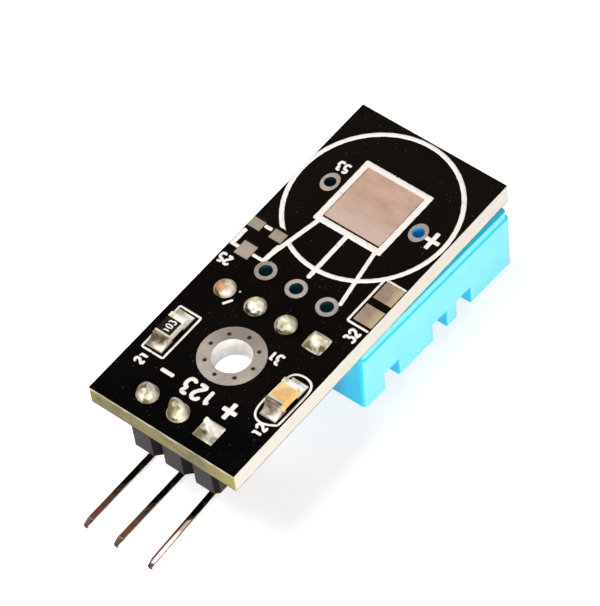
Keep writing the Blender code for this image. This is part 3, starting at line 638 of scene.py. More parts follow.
def plastic_finish(name, dark, pale, rough, grain_size):
    """Plain plastic: soft clouds between two colours, and a fine grain that changes its gloss."""
    made, tree, shader, place = new_finish(name)
    clouds = noise(tree, place, 0.35, 3.0)
    grain = noise(tree, place, grain_size, 3.0, 0.65)
    gloss = spread_between(tree, grain, rough * 0.8, rough * 1.25)
    feed(tree, shader, Base_Color=ramp(tree, clouds, (0.35, dark), (0.65, pale)), Roughness=gloss)
    raise_surface(tree, shader, grain, 0.01, 0.7)
    return made


def shell_finish():
    """Waxy blue, painted pale on the long sides and deep on the short ones, with a brighter top that has
    painted emission.
    """
    made, tree, shader, place = new_finish("blue_moulding", Specular_IOR_Level=0.3, Subsurface_Weight=0.6)
    shader.inputs["Subsurface Scale"].default_value = 0.9 * MM
    shader.inputs["Subsurface Radius"].default_value = (0.3, 1.0, 1.0)
    clouds = noise(tree, place, 0.35, 3.0)
    grain = noise(tree, place, 5.0, 3.0, 0.65)
    turned = facing(tree)
    # Painted light and shade: the long sides get a pale blue, the short ends a deep blue.
    side = ramp(tree, clouds, (0.35, (0.22, 0.76, 0.92)), (0.65, (0.25, 0.80, 0.94)))
    across = axes(tree, place)["X"]
    # Painted light: the short ends turn paler towards the right.
    end = mix(tree, fade(tree, across, *END_PAINTED_PALER), (0.03, 0.40, 0.74), (0.03, 0.62, 0.98))
    colour = mix(tree, fade(tree, magnitude(tree, turned["Y"]), 0.5, 0.8), side, end)
    # The top gets a brighter blue and a painted glow.
    colour = mix(tree, fade(tree, turned["Z"], 0.5, 0.8), colour, (0.06, 0.72, 0.94))
    painted_glow = times(tree, fade(tree, turned["Z"], 0.2, 0.8), PAINTED_SHELL_GLOW)
    feed(tree, shader, Base_Color=colour, Emission_Color=colour, Emission_Strength=painted_glow)
    feed(tree, shader, Roughness=spread_between(tree, grain, 0.34, 0.52))
    raise_surface(tree, shader, grain, 0.008, 0.7)
    return made


def strip_finish():
    """Glass-filled black: grey on its flat sides, painted near black as shade in the notches between the pins.
    """
    made, tree, shader, place = new_finish("filled_nylon", Specular_IOR_Level=0.15)
    grain = noise(tree, place, 7.0, 3.0, 0.65)
    flat = ramp(tree, grain, (0.35, (0.018, 0.0175, 0.017)), (0.65, (0.030, 0.029, 0.028)))
    sideways = magnitude(tree, facing(tree)["X"])
    # Painted shade: the notches' faces get a near-black colour and are rough.
    painted_notch_shade = times(tree, fade(tree, sideways, 0.25, 0.6), fade(tree, sideways, 0.98, 0.9))
    gloss = spread_between(tree, grain, 0.4, 0.6)
    feed(tree, shader, Base_Color=mix(tree, painted_notch_shade, flat, (0.006, 0.005, 0.007)))
    feed(tree, shader, Roughness=mix(tree, painted_notch_shade, gloss, (0.95, 0.95, 0.95)))
    raise_surface(tree, shader, grain, 0.015, 0.7)
    return made


# %% [markdown]
# The two chip parts need more. The resistor is pale ceramic under a black glaze that stops short of one
# long edge. The capacitor's body is amber and orange in patches. Both were soldered by hand: their far ends
# are cream, and paler on their right in painted light, and their near ends are brown from flux but for a
# pale rim and a pale corner, which are painted highlights. One finish does the ends of both, because it
# measures to the right from each chip's own middle line.

# %% Chip part finishes
CHIP_FROM_MIDDLE = 4.71
NEAR_END, FAR_END = 5.9, 6.4
PAINTED_HIGHLIGHT_RIM = (5.56, 5.62)
PAINTED_HIGHLIGHT_CORNER = (-4.75, -4.35)
GLAZE_TOP = (-0.07, -0.03)
GLAZE_EDGE = (-0.10, -0.15)
FAR_TIN = (0.38, (0.40, 0.38, 0.24)), (0.5, (0.62, 0.60, 0.46)), (0.62, (0.88, 0.86, 0.78))
NEAR_TIN = (0.38, (0.09, 0.065, 0.035)), (0.52, (0.20, 0.165, 0.12)), (0.66, (0.40, 0.36, 0.29))


def resistor_finish():
    """Black glaze on the top of pale ceramic, up to about 0.12 mm from the edge on the +X side."""
    made, tree, shader, place = new_finish("resistor_glaze", Roughness=0.35, Specular_IOR_Level=0.12)
    edge, top = box_mm("resistor_body", ORIGIN)[1][[0, 2]]
    spot = axes(tree, place)
    ragged = spread_between(tree, noise(tree, place, 4.0, 3.0), -0.05, 0.05)
    high = fade(tree, spot["Z"], top + GLAZE_TOP[0], top + GLAZE_TOP[1])
    short = fade(tree, plus(tree, spot["X"], ragged), edge + GLAZE_EDGE[0], edge + GLAZE_EDGE[1])
    grain = noise(tree, place, 6.0, 3.0)
    glaze = ramp(tree, grain, (0.3, (0.008, 0.006, 0.002)), (0.7, (0.018, 0.014, 0.005)))
    ceramic = ramp(tree, grain, (0.3, (0.58, 0.54, 0.46)), (0.7, (0.78, 0.74, 0.66)))
    feed(tree, shader, Base_Color=mix(tree, times(tree, high, short), ceramic, glaze))
    raise_surface(tree, shader, grain, 0.01, 0.6)
    return made


def capacitor_finish():
    """Amber on an orange-tan body, in soft patches."""
    made, tree, shader, place = new_finish("capacitor_ceramic", Roughness=0.4)
    patches = noise(tree, place, 1.1, 3.0, 0.55)
    grain = noise(tree, place, 6.0, 3.0)
    tan, orange, amber = (0.66, 0.47, 0.24), (0.86, 0.47, 0.10), (0.92, 0.70, 0.34)
    colour = ramp(tree, patches, (0.36, tan), (0.48, orange), (0.62, amber))
    colour = mix(tree, times(tree, grain, 0.2), colour, (0.45, 0.26, 0.14))
    feed(tree, shader, Base_Color=colour)
    raise_surface(tree, shader, grain, 0.01, 0.6)
    return made


def cap_finish(name, rough, metal):
    """Tin, cream at a chip's far end and brown at its near end; the pale parts are painted highlights."""
    made, tree, shader, place = new_finish(name, Metallic=metal)
    spot = axes(tree, place)
    grain = noise(tree, place, 4.0, 3.0, 0.6)
    patches = noise(tree, place, 1.5, 3.0, 0.6)
    far, near = ramp(tree, patches, *FAR_TIN), ramp(tree, patches, *NEAR_TIN)
    outwards = number(tree, "SUBTRACT", magnitude(tree, spot["X"]), CHIP_FROM_MIDDLE)
    to_right = times(tree, outwards, number(tree, "SIGN", spot["X"]))
    wander = spread_between(tree, patches, -0.2, 0.2)
    corner = plus(tree, number(tree, "SUBTRACT", to_right, spot["Y"]), wander)
    # Painted highlight: a pale corner on the near end.
    near = mix(tree, fade(tree, corner, *PAINTED_HIGHLIGHT_CORNER), near, (0.84, 0.80, 0.70))
    # Painted highlight: the far end turns paler on its right.
    far = mix(tree, fade(tree, plus(tree, to_right, wander), -0.1, 0.4), far, (0.93, 0.91, 0.86))
    # Painted highlight: a pale rim across the near end.
    rim = times(tree, fade(tree, spot["Y"], *PAINTED_HIGHLIGHT_RIM), 0.85)
    near = mix(tree, rim, near, (0.76, 0.70, 0.60))
    feed(tree, shader, Base_Color=mix(tree, fade(tree, spot["Y"], NEAR_END, FAR_END), near, far))
    feed(tree, shader, Roughness=spread_between(tree, grain, rough * 0.7, rough * 1.4))
    raise_surface(tree, shader, grain, 0.03, 0.6)
    return made


# %% [markdown]
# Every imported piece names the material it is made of, as a slot. A table gives each slot its finish, and
# the pieces that differ from their slot get their own afterwards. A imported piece's mesh is left as it is.

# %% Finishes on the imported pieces
FINISHES = {
    "board": board_finish(),
    "tinned_copper": copper_finish(),
    "bare_copper": plate_finish(),
    "solder": cap_finish("chip_solder", 0.5, 0.35),
    "tinned_cap": cap_finish("matt_tin", 0.55, 0.3),
    "pin_metal": pin_finish("header_pin_left"),
    "lead_metal": lead_finish(),
    "header_plastic": strip_finish(),
    "blue_plastic": shell_finish(),
    "inner_board": plastic_finish("green_mask", (0.03, 0.15, 0.07), (0.05, 0.20, 0.10), 0.35, 3.0),
    "sensing_ceramic": plastic_finish("sensing_film", (0.50, 0.48, 0.43), (0.66, 0.64, 0.58), 0.7, 6.0),
    "thermistor": plastic_finish("thermistor_glaze", (0.07, 0.04, 0.025), (0.12, 0.07, 0.045), 0.4, 4.0),
    "moulded_black": plastic_finish("chip_resin", (0.014, 0.014, 0.016), (0.024, 0.024, 0.027), 0.5, 8.0),
    "resistor_body": resistor_finish(),
    "capacitor_body": capacitor_finish(),
}
SLOT_OF_NODE = {name: node.data.materials[0].name for name, node in nodes.items()}
for name, node in nodes.items():
    node.data.materials[0] = FINISHES[SLOT_OF_NODE[name]]
nodes["screw_ring"].data.materials[0] = hole_finish("screw_ring_tin", SCREW_BARREL, is_screw_hole=True)
DUO, TRIO = duo_finish(), trio_finish()
for name in ("duo_pad_near", "duo_pad_far"):
    nodes[name].data.materials[0] = DUO
for name in ("trio_pad_outer", "trio_pad_inner", "trio_pad_lone"):
    nodes[name].data.materials[0] = TRIO
print(len(FINISHES), "finishes on", len(nodes), "packed pieces")


# %% [markdown]
# The print on the board is a thin white layer. Each line is a ribbon: a low dome carried along a path, with
# round ends, because ink flows back from a stroke's end. The dome is only a few hundredths of a millimetre
# high, but it catches the light as print does, and the width wavers a little, because a screen leaves
# uneven edges.

# %% Printed lines
INK_HEIGHT = 0.03
INK_BASE = THICKNESS + 0.003
INK_STEP = 0.12
EDGE_LIMIT = HALF_WIDTH - 0.03


def print_finish():
    """White print: chalky, a little warm, thinner in places so that it greys."""
    made, tree, shader, place = new_finish("white_print", Roughness=0.6, Specular_IOR_Level=0.3)
    thin = noise(tree, place, 3.0, 4.0, 0.65)
    feed(tree, shader, Base_Color=ramp(tree, thin, (0.28, (0.60, 0.57, 0.54)), (0.42, (0.87, 0.845, 0.81))))
    raise_surface(tree, shader, noise(tree, place, 12.0, 2.0), 0.006, 0.6)
    return made


def cut_corners(points, rounds=3):
    """Rounds a path: each stretch gives the points at a quarter and three quarters of it, a few times."""
    points = np.asarray(points, float)
    for _ in range(rounds):
        near, far = points[:-1], points[1:]
        inner = np.stack([0.75 * near + 0.25 * far, 0.25 * near + 0.75 * far], 1).reshape(-1, 2)
        points = np.concatenate([points[:1], inner, points[-1:]])
    return points


def ribbon(path, width, base=INK_BASE, height=INK_HEIGHT, blunt=2.0):
    """Rings of a printed line along a path of (x, y) points.

    At a distance d from the nearer end, the width is w * (1 - (1 - 2 d / w)^b)^(1/b) up to d = w / 2, and w
    after that, times a waver made of two sines: b = 2 gives a round end, and a higher b a blunt one. Across
    it, at a share s from -1 to 1, the ink's height is (1 - s^4) of its full height. No ink passes the
    board's long edges.
    """
    path = np.asarray(path, float)
    lengths = np.concatenate([[0], np.cumsum(np.hypot(*np.diff(path, axis=0).T))])
    total, half = lengths[-1], width / 2
    ends = half * (1 - np.cos(np.linspace(0.12, math.pi / 2, 7)))
    middle = np.linspace(half, total - half, max(2, int((total - width) / INK_STEP)) + 1)
    along = np.unique(np.concatenate([ends, middle, total - ends]).round(6))
    x, y = np.interp(along, lengths, path[:, 0]), np.interp(along, lengths, path[:, 1])
    way = np.gradient(np.stack([x, y], 1), along, axis=0)
    way /= np.hypot(way[:, :1], way[:, 1:])
    to_end = np.minimum(np.minimum(along, total - along) / half, 1)
    waver = 1 + 0.035 * np.sin(along * 9.1 + x * 3) + 0.03 * np.sin(along * 23.7 + y * 5)
    spread = half * (1 - (1 - to_end) ** blunt) ** (1 / blunt) * waver
    share = np.cos(np.linspace(0, math.pi, 7))
    across = spread[:, None] * share
    rise = base + height * (1 - share**4) * np.sqrt(np.maximum(spread / half, 0.05))[:, None]
    x = np.clip(x[:, None] - way[:, 1:] * across, -EDGE_LIMIT, EDGE_LIMIT)
    return np.stack([x, y[:, None] + way[:, :1] * across, rise], -1)


def printed(name, paths, base=INK_BASE, blunt=2.0, height=INK_HEIGHT):
    """One printed piece from (path, width) pairs."""
    bodies = [ribbon(path, width, base, height, blunt) for path, width in paths]
    add_piece(name, bodies, PRINT, sharp=60)
    print(f"{name}: {len(paths)} strokes")


def arc(centre, radii, first, last, count=240):
    """Points on an ellipse from one angle to another, in degrees."""
    angle = np.radians(np.linspace(first, last, count))
    return np.stack([centre[0] + radii[0] * np.cos(angle), centre[1] + radii[1] * np.sin(angle)], 1)


PRINT = print_finish()


# %% [markdown]
# The big printed circle marks where a round part could go. It is cut off by the board's left edge and
# broken where it would cross a pad. Inside it a square frame borders the bare plate, a quarter to a third of
# a millimetre outside it, and its far side is two strokes that just meet. Three lines lead from the frame to
# the three spare holes, as the legs of such a part would.

# %% The circle, the square and its legs
CIRCLE_LINE, FRAME_LINE, LEG_LINE, THIN_LEG_LINE = 0.33, 0.46, 0.34, 0.2958
square_low, square_high = box_mm("bare_square", ORIGIN)
LEFT_GAP, NEAR_GAP, FAR_GAP = 0.305, 0.35, 0.25
LEFT, NEAR = square_low[0] - LEFT_GAP, square_low[1] - NEAR_GAP
RIGHT, FAR = square_high[0] + FAR_GAP, square_high[1] + FAR_GAP
MEETING = -0.355

printed("printed_circle", [(arc((-0.10, 21.63), (5.86, 6.09), -119.5, 234.5), CIRCLE_LINE)])
over = FRAME_LINE / 2
frame_paths = (
    ((LEFT - over, NEAR), (RIGHT + over, NEAR)),
    ((LEFT - over, FAR), (MEETING + 0.005, FAR)),
    ((MEETING - 0.005, FAR), (RIGHT + over, FAR)),
    ((LEFT, NEAR - over), (LEFT, FAR + over)),
    ((RIGHT, NEAR - over), (RIGHT, FAR + over)),
)
printed("printed_square_frame", [(path, FRAME_LINE) for path in frame_paths], blunt=5.0)
printed("printed_legs", [
    (((-2.33, 18.8), (-3.2, 14.5)), LEG_LINE),
    (((0.0, 18.9), (0.04, 14.7)), LEG_LINE),
    (((2.33, 18.8), (3.12, 14.15)), THIN_LEG_LINE),
])


# %% [markdown]
# Next come outlines round the parts, and plain signs. A closed outline is one path, whose corners are cut a
# few times over until they look round. The open ones run out to the board's long edges and stop there.

# %% Outlines and signs
CHIP_LINE, DUO_LINE, SIGN_LINE, PLUS_LINE = 0.16, 0.17, 0.29, 0.34
LEFT_EDGE, RIGHT_EDGE = -HALF_WIDTH, HALF_WIDTH - 0.05
RESISTOR_LEFT_GAP, RESISTOR_RIGHT_GAP, RESISTOR_END_GAP = 0.15, 0.30, 0.23
DUO_LEFT_GAP, DUO_NEAR_GAP, DUO_FAR_GAP = 0.26, 0.28, 0.15


def outline(x_low, x_high, y_low, y_high, line):
    """A printed rectangle as one path with softly cut corners, from its near side's middle and back."""
    middle = (x_low + x_high) / 2
    corners = ((x_low, y_low), (x_low, y_high), (x_high, y_high), (x_high, y_low))
    path = ((middle, y_low), *corners, (middle, y_low))
    sharp = np.concatenate([np.linspace(a, b, 12) for a, b in zip(path, path[1:])])
    return cut_corners(sharp, 2), line


def cross(x, y, width, height, line):
    """A plus sign's two strokes."""
    level = ((x - width / 2, y), (x + width / 2, y))
    upright = ((x, y - height / 2), (x, y + height / 2))
    return [(level, line), (upright, line)]


pads_low, pads_high = box_mm("resistor_near_pad", ORIGIN)[0], box_mm("resistor_far_pad", ORIGIN)[1]
across = pads_low[0] - RESISTOR_LEFT_GAP, pads_high[0] + RESISTOR_RIGHT_GAP
along = pads_low[1] - RESISTOR_END_GAP, pads_high[1] + RESISTOR_END_GAP
printed("printed_resistor_outline", [outline(*across, *along, CHIP_LINE)])
capacitor_path = cut_corners((
    (5.80, 4.62), (5.82, 6.2), (5.84, 7.9), (5.52, 8.38), (4.95, 8.54), (4.28, 8.42), (3.93, 7.95),
    (3.86, 6.4), (3.80, 5.1), (4.05, 4.4), (4.6, 4.14), (5.2, 4.26), (5.80, 4.62),
))
printed("printed_capacitor_outline", [(capacitor_path, CHIP_LINE)])
pads_low, pads_high = box_mm("duo_pad_near", ORIGIN)[0], box_mm("duo_pad_far", ORIGIN)[1]
side, near, far = pads_low[0] - DUO_LEFT_GAP, pads_low[1] - DUO_NEAR_GAP, pads_high[1] + DUO_FAR_GAP
printed("printed_duo_outline", [
    (((RIGHT_EDGE, near), (side, near)), DUO_LINE),
    (((side, near - 0.02), (side, far + 0.1)), DUO_LINE + 0.01),
    (((side, far), (RIGHT_EDGE, far)), DUO_LINE),
])
printed("printed_trio_outline", [
    (((LEFT_EDGE + 0.07, 14.14), (-5.2, 14.14)), 0.27),
    (((-4.1, 14.14), (-3.1, 14.14)), 0.25),
    (((LEFT_EDGE + 0.2, 14.05), (LEFT_EDGE + 0.2, 15.55)), 0.34),
    (((-3.19, 14.1), (-3.08, 15.7)), 0.36),
    (((-4.93, 16.43), (-4.31, 16.43)), 0.28),
], blunt=4.0)
printed("printed_ticks", [(((-3.2, 9.95), (-2.8, 10.6)), 0.19), (((-2.9, 11.3), (-2.8, 11.42)), 0.15)])
minus = [(((-3.11, 3.76), (-2.05, 3.76)), SIGN_LINE)]
printed("printed_signs", minus + cross(2.61, 3.71, 1.1, 1.37, PLUS_LINE), blunt=4.0)
printed("printed_plus", cross(4.79, 21.64, 1.16, 1.47, PLUS_LINE - 0.02), blunt=4.0)


# %% [markdown]
# The numbers are strokes on a small grid, each one path whose corners are cut, so they look drawn with a
# round pen. They stand beside the parts, as on most such boards, and mean nothing but a count. The resistor
# carries one too, in thinner ink.

# %% Plain numbers
DIGITS = {
    "0": ((0.3, 1), (0, 1), (0, 0), (0.6, 0), (0.6, 1), (0.3, 1)),
    "1": ((0.08, 0.72), (0.36, 1), (0.36, 0)),
    "2": ((0, 0.72), (0.04, 1), (0.58, 1), (0.62, 0.58), (0.02, 0.12), (0, 0), (0.64, 0)),
    "3": ((0, 1), (0.62, 1), (0.28, 0.56), (0.66, 0.56), (0.62, 0), (0.16, -0.03), (0, 0.14)),
    "5": ((0.58, 1), (0.05, 1), (0.03, 0.56), (0.6, 0.66), (0.66, 0.02), (0.2, -0.04), (0, 0.12)),
}
DIGIT_WIDTH, DIGIT_PITCH = 0.78, 0.72
LABEL_LINE, WIDE_LABEL_LINE = 0.21, 0.29
RESISTOR_NUMBER_LINE, RESISTOR_INK = 0.10, 0.008
READS_BACK, READS_FORWARD = 180, 90


def numeral_paths(text, centre, height, turn, line=LABEL_LINE):
    """(path, width) pairs for a plain number. The turn is in degrees, and at zero its top points to +Y."""
    c, s = math.cos(math.radians(turn)), math.sin(math.radians(turn))
    shift = (len(text) - 1) / 2 * DIGIT_PITCH + 0.3 * DIGIT_WIDTH
    made = []
    for place, digit in enumerate(text):
        points = cut_corners(DIGITS[digit]) * (DIGIT_WIDTH, 1) + (place * DIGIT_PITCH - shift, -0.5)
        points = points * (height - line) @ np.array([[c, s], [-s, c]]) + centre
        made.append((points, line))
    return made


printed("printed_numbers", sum([
    numeral_paths("21", (-4.7, 3.68), 0.85, READS_FORWARD),
    numeral_paths("12", (5.05, 3.68), 0.92, READS_FORWARD),
    numeral_paths("31", (2.4, 8.6), 0.95, READS_BACK),
    numeral_paths("25", (-5.36, 12.85), 0.9, READS_BACK),
    numeral_paths("32", (5.28, 12.75), 0.95, READS_FORWARD),
    numeral_paths("53", (-3.72, 23.1), 0.88, READS_BACK),
    numeral_paths("123", (0.05, 3.72), 1.45, READS_BACK, WIDE_LABEL_LINE),
], []))
resistor_number = numeral_paths("103", (-4.52, 6.35), 0.58, READS_FORWARD, RESISTOR_NUMBER_LINE)
resistor_top = box_mm("resistor_body", ORIGIN)[1][2]
printed("printed_resistor_number", resistor_number, resistor_top + 0.001, height=RESISTOR_INK)


# %% [markdown]
# Solder joints were made by hand, so each is stained in its own way by flux and heat. The stains are soft
# balls of colour, placed as the camera sees them: so far to the right of the joint's middle, so far up the
# board. Those on the left and lower sides, away from the lamps, are partly flux and partly painted shade,
# and the near-black ones are painted shade only. Noise pushes their edges about, and a last noise leaves
# small dark spots of flux. Solder this dull is only a quarter metal to the eye, which keeps the joints
# cream where a true metal would mirror the room.

# %% Stained solder
FLUX = (0.10, 0.075, 0.035)
# Stain colours: PINK, BROWN and the olive are partly flux and partly painted shade; the near-black one is
# painted shade.
PINK, OLIVE_FLUX_AND_SHADE, PAINTED_SHADE, BROWN = (0.27, 0.16, 0.12), (0.15, 0.12, 0.035), (0.03, 0.02, 0.014), (0.15, 0.08, 0.03)
RUST = (0.46, 0.23, 0.08)
CREAM = ((0.60, 0.54, 0.41), (0.95, 0.91, 0.83))
BRIGHT = ((0.72, 0.67, 0.54), (0.96, 0.93, 0.86))
YELLOWISH = ((0.50, 0.46, 0.28), (0.90, 0.87, 0.70))
GREENISH = ((0.48, 0.45, 0.30), (0.90, 0.88, 0.73))


def seen(right, up, level):
    """A place on a joint from its middle, given as the camera sees it: to the right, and up the board."""
    return (0.81 * right - 0.65 * up, 0.58 * right + 0.76 * up, level)


def stained_solder(name, stains, tones):
    """Solder in two tones with stains and painted shade, each a (centre in board mm, radius, colour,
    strength).
    """
    made, tree, shader, place = new_finish(name, Metallic=0.25, Specular_IOR_Level=0.3)
    clouds = noise(tree, place, 1.8, 3.0)
    grain = noise(tree, place, 5.0, 3.0, 0.6)
    colour = ramp(tree, clouds, (0.35, tones[0]), (0.65, tones[1]))
    wander = add_node(tree, "TexNoise", {"Vector": place, "Scale": 2.2, "Detail": 3.0}).outputs["Color"]
    moved = add_node(tree, "VectorMath", {0: place, 1: wander}, operation="ADD").outputs["Vector"]
    for centre, radius, stain, strength in stains:
        away = distance(tree, moved, tuple(np.asarray(centre, float) + 0.5))
        share = times(tree, fade(tree, away, radius, radius * 0.6), strength)
        colour = mix(tree, share, colour, stain)
    spots = fade(tree, noise(tree, place, 1.7, 4.0, 0.7), 0.42, 0.33)
    colour = mix(tree, times(tree, spots, 0.7), colour, FLUX)
    feed(tree, shader, Base_Color=colour, Roughness=spread_between(tree, grain, 0.36, 0.62))
    bumps = plus(tree, clouds, times(tree, grain, 0.3))
    raise_surface(tree, shader, bumps, 0.06, 0.8)
    return made


# %% [markdown]
# Solder is drawn up round each pin by surface tension. Where it wets the pad it runs out into a thin foot,
# above that it bulges or tapers, and it ends in a small blunt peak. A joint is therefore a stack of rings:
# the radius is a foot that dies away with height plus a body that follows a superellipse, and the peak may
# lean. Square pads pull it square, with hollow sides. A blind pocket holds the pin's end.

# %% Solder joints
JOINT_POINTS, JOINT_RINGS = 64, 26
SAG = (0.07, -0.08)
SHIFT = (0.09, -0.06)
SPREAD = 0.95
ROUND_FOOT, SQUARE_FOOT = 0.03, 0.10
POCKET_PLAY = 0.02
HEADER_POCKET, LEAD_POCKET = (0.2, 0.3), (0.28, 0.28)


def loop_round(half, square, steps=JOINT_POINTS):
    """Offsets of a level loop: a circle at square 0, a square at square 1, and a blend of both between."""
    angle = np.linspace(0, 2 * math.pi, steps, endpoint=False)
    c, s = np.cos(angle), np.sin(angle)
    stretch = 1 + square * (1 / np.maximum(abs(c), abs(s)) - 1)
    return half * c * stretch, half * s * stretch


def level_ring(middle, x, y, level):
    """A ring at one level, from offsets round a middle."""
    return np.stack([middle[0] + x, middle[1] + y, np.full_like(x, level)], 1)


def pocket_rings(node, middle, floor):
    """The blind pocket for a pin's end: a loop above the pin, and one where the pocket meets the pad."""
    in_header = node.startswith("header")
    pin = node.replace("solder", "pin" if in_header else "lead")
    ceiling = box_mm(pin, ORIGIN)[1][2] + POCKET_PLAY
    top, foot = HEADER_POCKET if in_header else LEAD_POCKET
    levels = ((top, ceiling), (foot, floor))
    return np.array([level_ring(middle, *loop_round(side, 1.0), level) for side, level in levels])


def joint(node, fullness, lean, peak, tones, stains, square=0.0, rise=1.0, waist=0.0, hollow=0.0):
    """A solder joint in place of a packed one, nearly as wide as that and a share rise as high.

    At a share t of its height the radius is foot * exp(-9 t) + peak + (rest) * (1 - t^p)^(1/p), with p the
    fullness, less a waist of 6.75 t (1 - t)^2, which is deepest at a third of the height. Its centre moves
    by lean * t^1.5 plus a sag of 4 t (1 - t), and a square joint's sides draw in by hollow * 4 t (1 - t) at
    their middles. Two sines of three and five waves to a turn make it lumpy towards its top.
    """
    low, high = box_mm(node, ORIGIN)
    middle, half, height = (low + high) / 2, (high[0] - low[0]) / 2 * SPREAD, (high[2] - low[2]) * rise
    foot = ROUND_FOOT + (SQUARE_FOOT - ROUND_FOOT) * square
    t = np.sin(np.linspace(0, math.pi / 2, JOINT_RINGS))[:, None]
    share = np.maximum(1 - t**fullness, 0) ** (1 / fullness)
    radius = foot * np.exp(-9 * t) * (1 - t) + peak + (half - foot - peak) * share
    radius = radius - waist * half * t * (1 - t) ** 2 * 6.75
    x, y = loop_round(1.0, 0.0)
    xs, ys = loop_round(1.0, 1.0)
    blend = square * (1 - 0.6 * t)
    angle = np.linspace(0, 2 * math.pi, JOINT_POINTS, endpoint=False)
    phase = middle[0] + 3 * middle[1]
    belly = 4 * t * (1 - t)
    lumps = 1 + 0.05 * np.sin(3 * angle + phase) * t + 0.035 * np.sin(5 * angle + 2 * phase + 4 * t) * t
    lumps = lumps * (1 - hollow * belly * abs(np.cos(2 * angle)))
    x = middle[0] + SHIFT[0] + lean[0] * t**1.5 + SAG[0] * belly + radius * lumps * (x + (xs - x) * blend)
    y = middle[1] + SHIFT[1] + lean[1] * t**1.5 + SAG[1] * belly + radius * lumps * (y + (ys - y) * blend)
    outer = np.stack([x, y, low[2] + height * t * np.ones_like(x)], -1)
    rings = np.concatenate([pocket_rings(node, middle, low[2]), outer])
    foot_place = middle * (1, 1, 0) + (0, 0, low[2])
    marks = [(foot_place + offset, *rest) for offset, *rest in stains]
    finish = stained_solder(node + "_metal", marks, tones)
    add_piece("smooth_" + node, [rings], finish, [node], sharp=55)


# The stains on each joint's left and lower sides, away from the lamps, are partly painted shade.
joint("header_solder_left", 1.9, (-0.12, 0.0), 0.14, CREAM, [
    (seen(-0.5, 0.05, 0.5), 0.82, PINK, 0.9), (seen(-0.05, -0.15, 0.75), 0.32, PAINTED_SHADE, 0.85),
    (seen(-0.1, -0.75, 0.1), 0.42, OLIVE_FLUX_AND_SHADE, 0.85),
], rise=0.9)
joint("header_solder_middle", 1.6, (-0.26, 0.10), 0.18, YELLOWISH, [
    (seen(-0.4, -0.05, 0.6), 0.75, OLIVE_FLUX_AND_SHADE, 0.95), (seen(0.0, 0.0, 0.8), 0.36, PAINTED_SHADE, 0.85),
    (seen(-0.15, -0.55, 0.3), 0.34, PAINTED_SHADE, 0.8),
], rise=0.84, waist=0.04)
joint("header_solder_right", 1.1, (-0.05, 0.08), 0.13, BRIGHT, [
    (seen(-0.5, -0.1, 0.3), 0.95, OLIVE_FLUX_AND_SHADE, 0.95), (seen(-0.05, 0.1, 0.7), 0.48, PAINTED_SHADE, 0.92),
    (seen(-0.15, -0.35, 0.4), 0.36, PAINTED_SHADE, 0.85), (seen(0.2, -0.8, 0.1), 0.4, OLIVE_FLUX_AND_SHADE, 0.7),
], square=1.0, rise=0.94, hollow=0.25)
joint("sensor_solder_1", 2.1, (0.12, -0.05), 0.1, BRIGHT, [
    (seen(-0.5, -0.05, 0.5), 1.0, RUST, 0.95), (seen(-0.35, -0.6, 0.2), 0.42, BROWN, 0.9),
], rise=0.85)
joint("sensor_solder_2", 2.0, (0.10, 0.0), 0.1, CREAM, [
    (seen(-0.55, -0.4, 0.25), 0.4, PAINTED_SHADE, 0.9), (seen(-0.2, -0.6, 0.25), 0.42, PAINTED_SHADE, 0.95),
    (seen(0.15, -0.8, 0.15), 0.34, PAINTED_SHADE, 0.85),
], rise=0.92)
joint("sensor_solder_3", 1.8, (0.12, -0.05), 0.1, GREENISH, [
    (seen(-0.6, -0.15, 0.4), 0.4, BROWN, 0.8), (seen(-0.4, -0.55, 0.2), 0.36, PAINTED_SHADE, 0.9),
    (seen(0.1, -0.7, 0.15), 0.34, OLIVE_FLUX_AND_SHADE, 0.8),
])
joint("sensor_solder_4", 1.5, (0.0, 0.0), 0.14, GREENISH, [
    (seen(-0.6, -0.25, 0.25), 0.45, OLIVE_FLUX_AND_SHADE, 0.85), (seen(0.15, -0.6, 0.2), 0.45, OLIVE_FLUX_AND_SHADE, 0.9),
], square=0.75, hollow=0.12)
print("7 solder joints")


# %% [markdown]
# A plated hole is a sleeve of copper through the board with a flat ring on each face. Its section is a
# rounded channel turned round the hole's middle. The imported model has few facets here, so these rings are
# turned again with many more, at the same places, and a twentieth narrower, as the photograph shows them.

# %% Plated holes
RING_POINTS = 96
SLEEVE = 0.06
PLATE = 0.05
SOFT_RIM = 0.015
SOFT_CORNER = 0.96
PIN_PLAY = 0.03
LEAD_BORE, SPARE_BORE, OVAL_BORE = 0.3215, 0.47, 0.42
pin_low, pin_high = box_mm("header_pin_left")
HEADER_BORE = (pin_high[0] - pin_low[0]) / math.sqrt(2) + PIN_PLAY


def plated_hole(node, bore, finish, square=0.0):
    """Rings of a plated hole: the channel's corners, each a loop, from the bore's foot round and back to it.

    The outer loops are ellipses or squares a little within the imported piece's half sizes, and the others are
    circles. Each row of the profile is a (half width, level, drawn in), with None for an outer loop's width.
    """
    low, high = box_mm(node, ORIGIN)
    middle = (low + high) / 2
    outer = (high - low) / 2 * SPREAD
    bottom, top, tube = low[2], high[2], bore + SLEEVE
    profile = (
        (bore, bottom + SOFT_RIM, 0), (bore, bottom, 0),
        (None, bottom, 0), (None, bottom + PLATE, 0),
        (tube, bottom + PLATE, 0), (tube, top - PLATE, 0),
        (None, top - PLATE, 0), (None, top - SOFT_RIM, 0), (None, top, SOFT_RIM),
        (bore + SOFT_RIM, top, 0), (bore, top - SOFT_RIM, 0),
    )
    rings = []
    for half, level, drawn_in in profile:
        x, y = loop_round(half or 1.0, 0.0 if half else square * SOFT_CORNER, RING_POINTS)
        if not half:
            x, y = x * (outer[0] - drawn_in), y * (outer[1] - drawn_in)
        rings.append(level_ring(middle, x, y, level))
    add_piece("turned_" + node, [np.array(rings)], finish, [node], joined=True)


DULL = FINISHES["tinned_copper"]
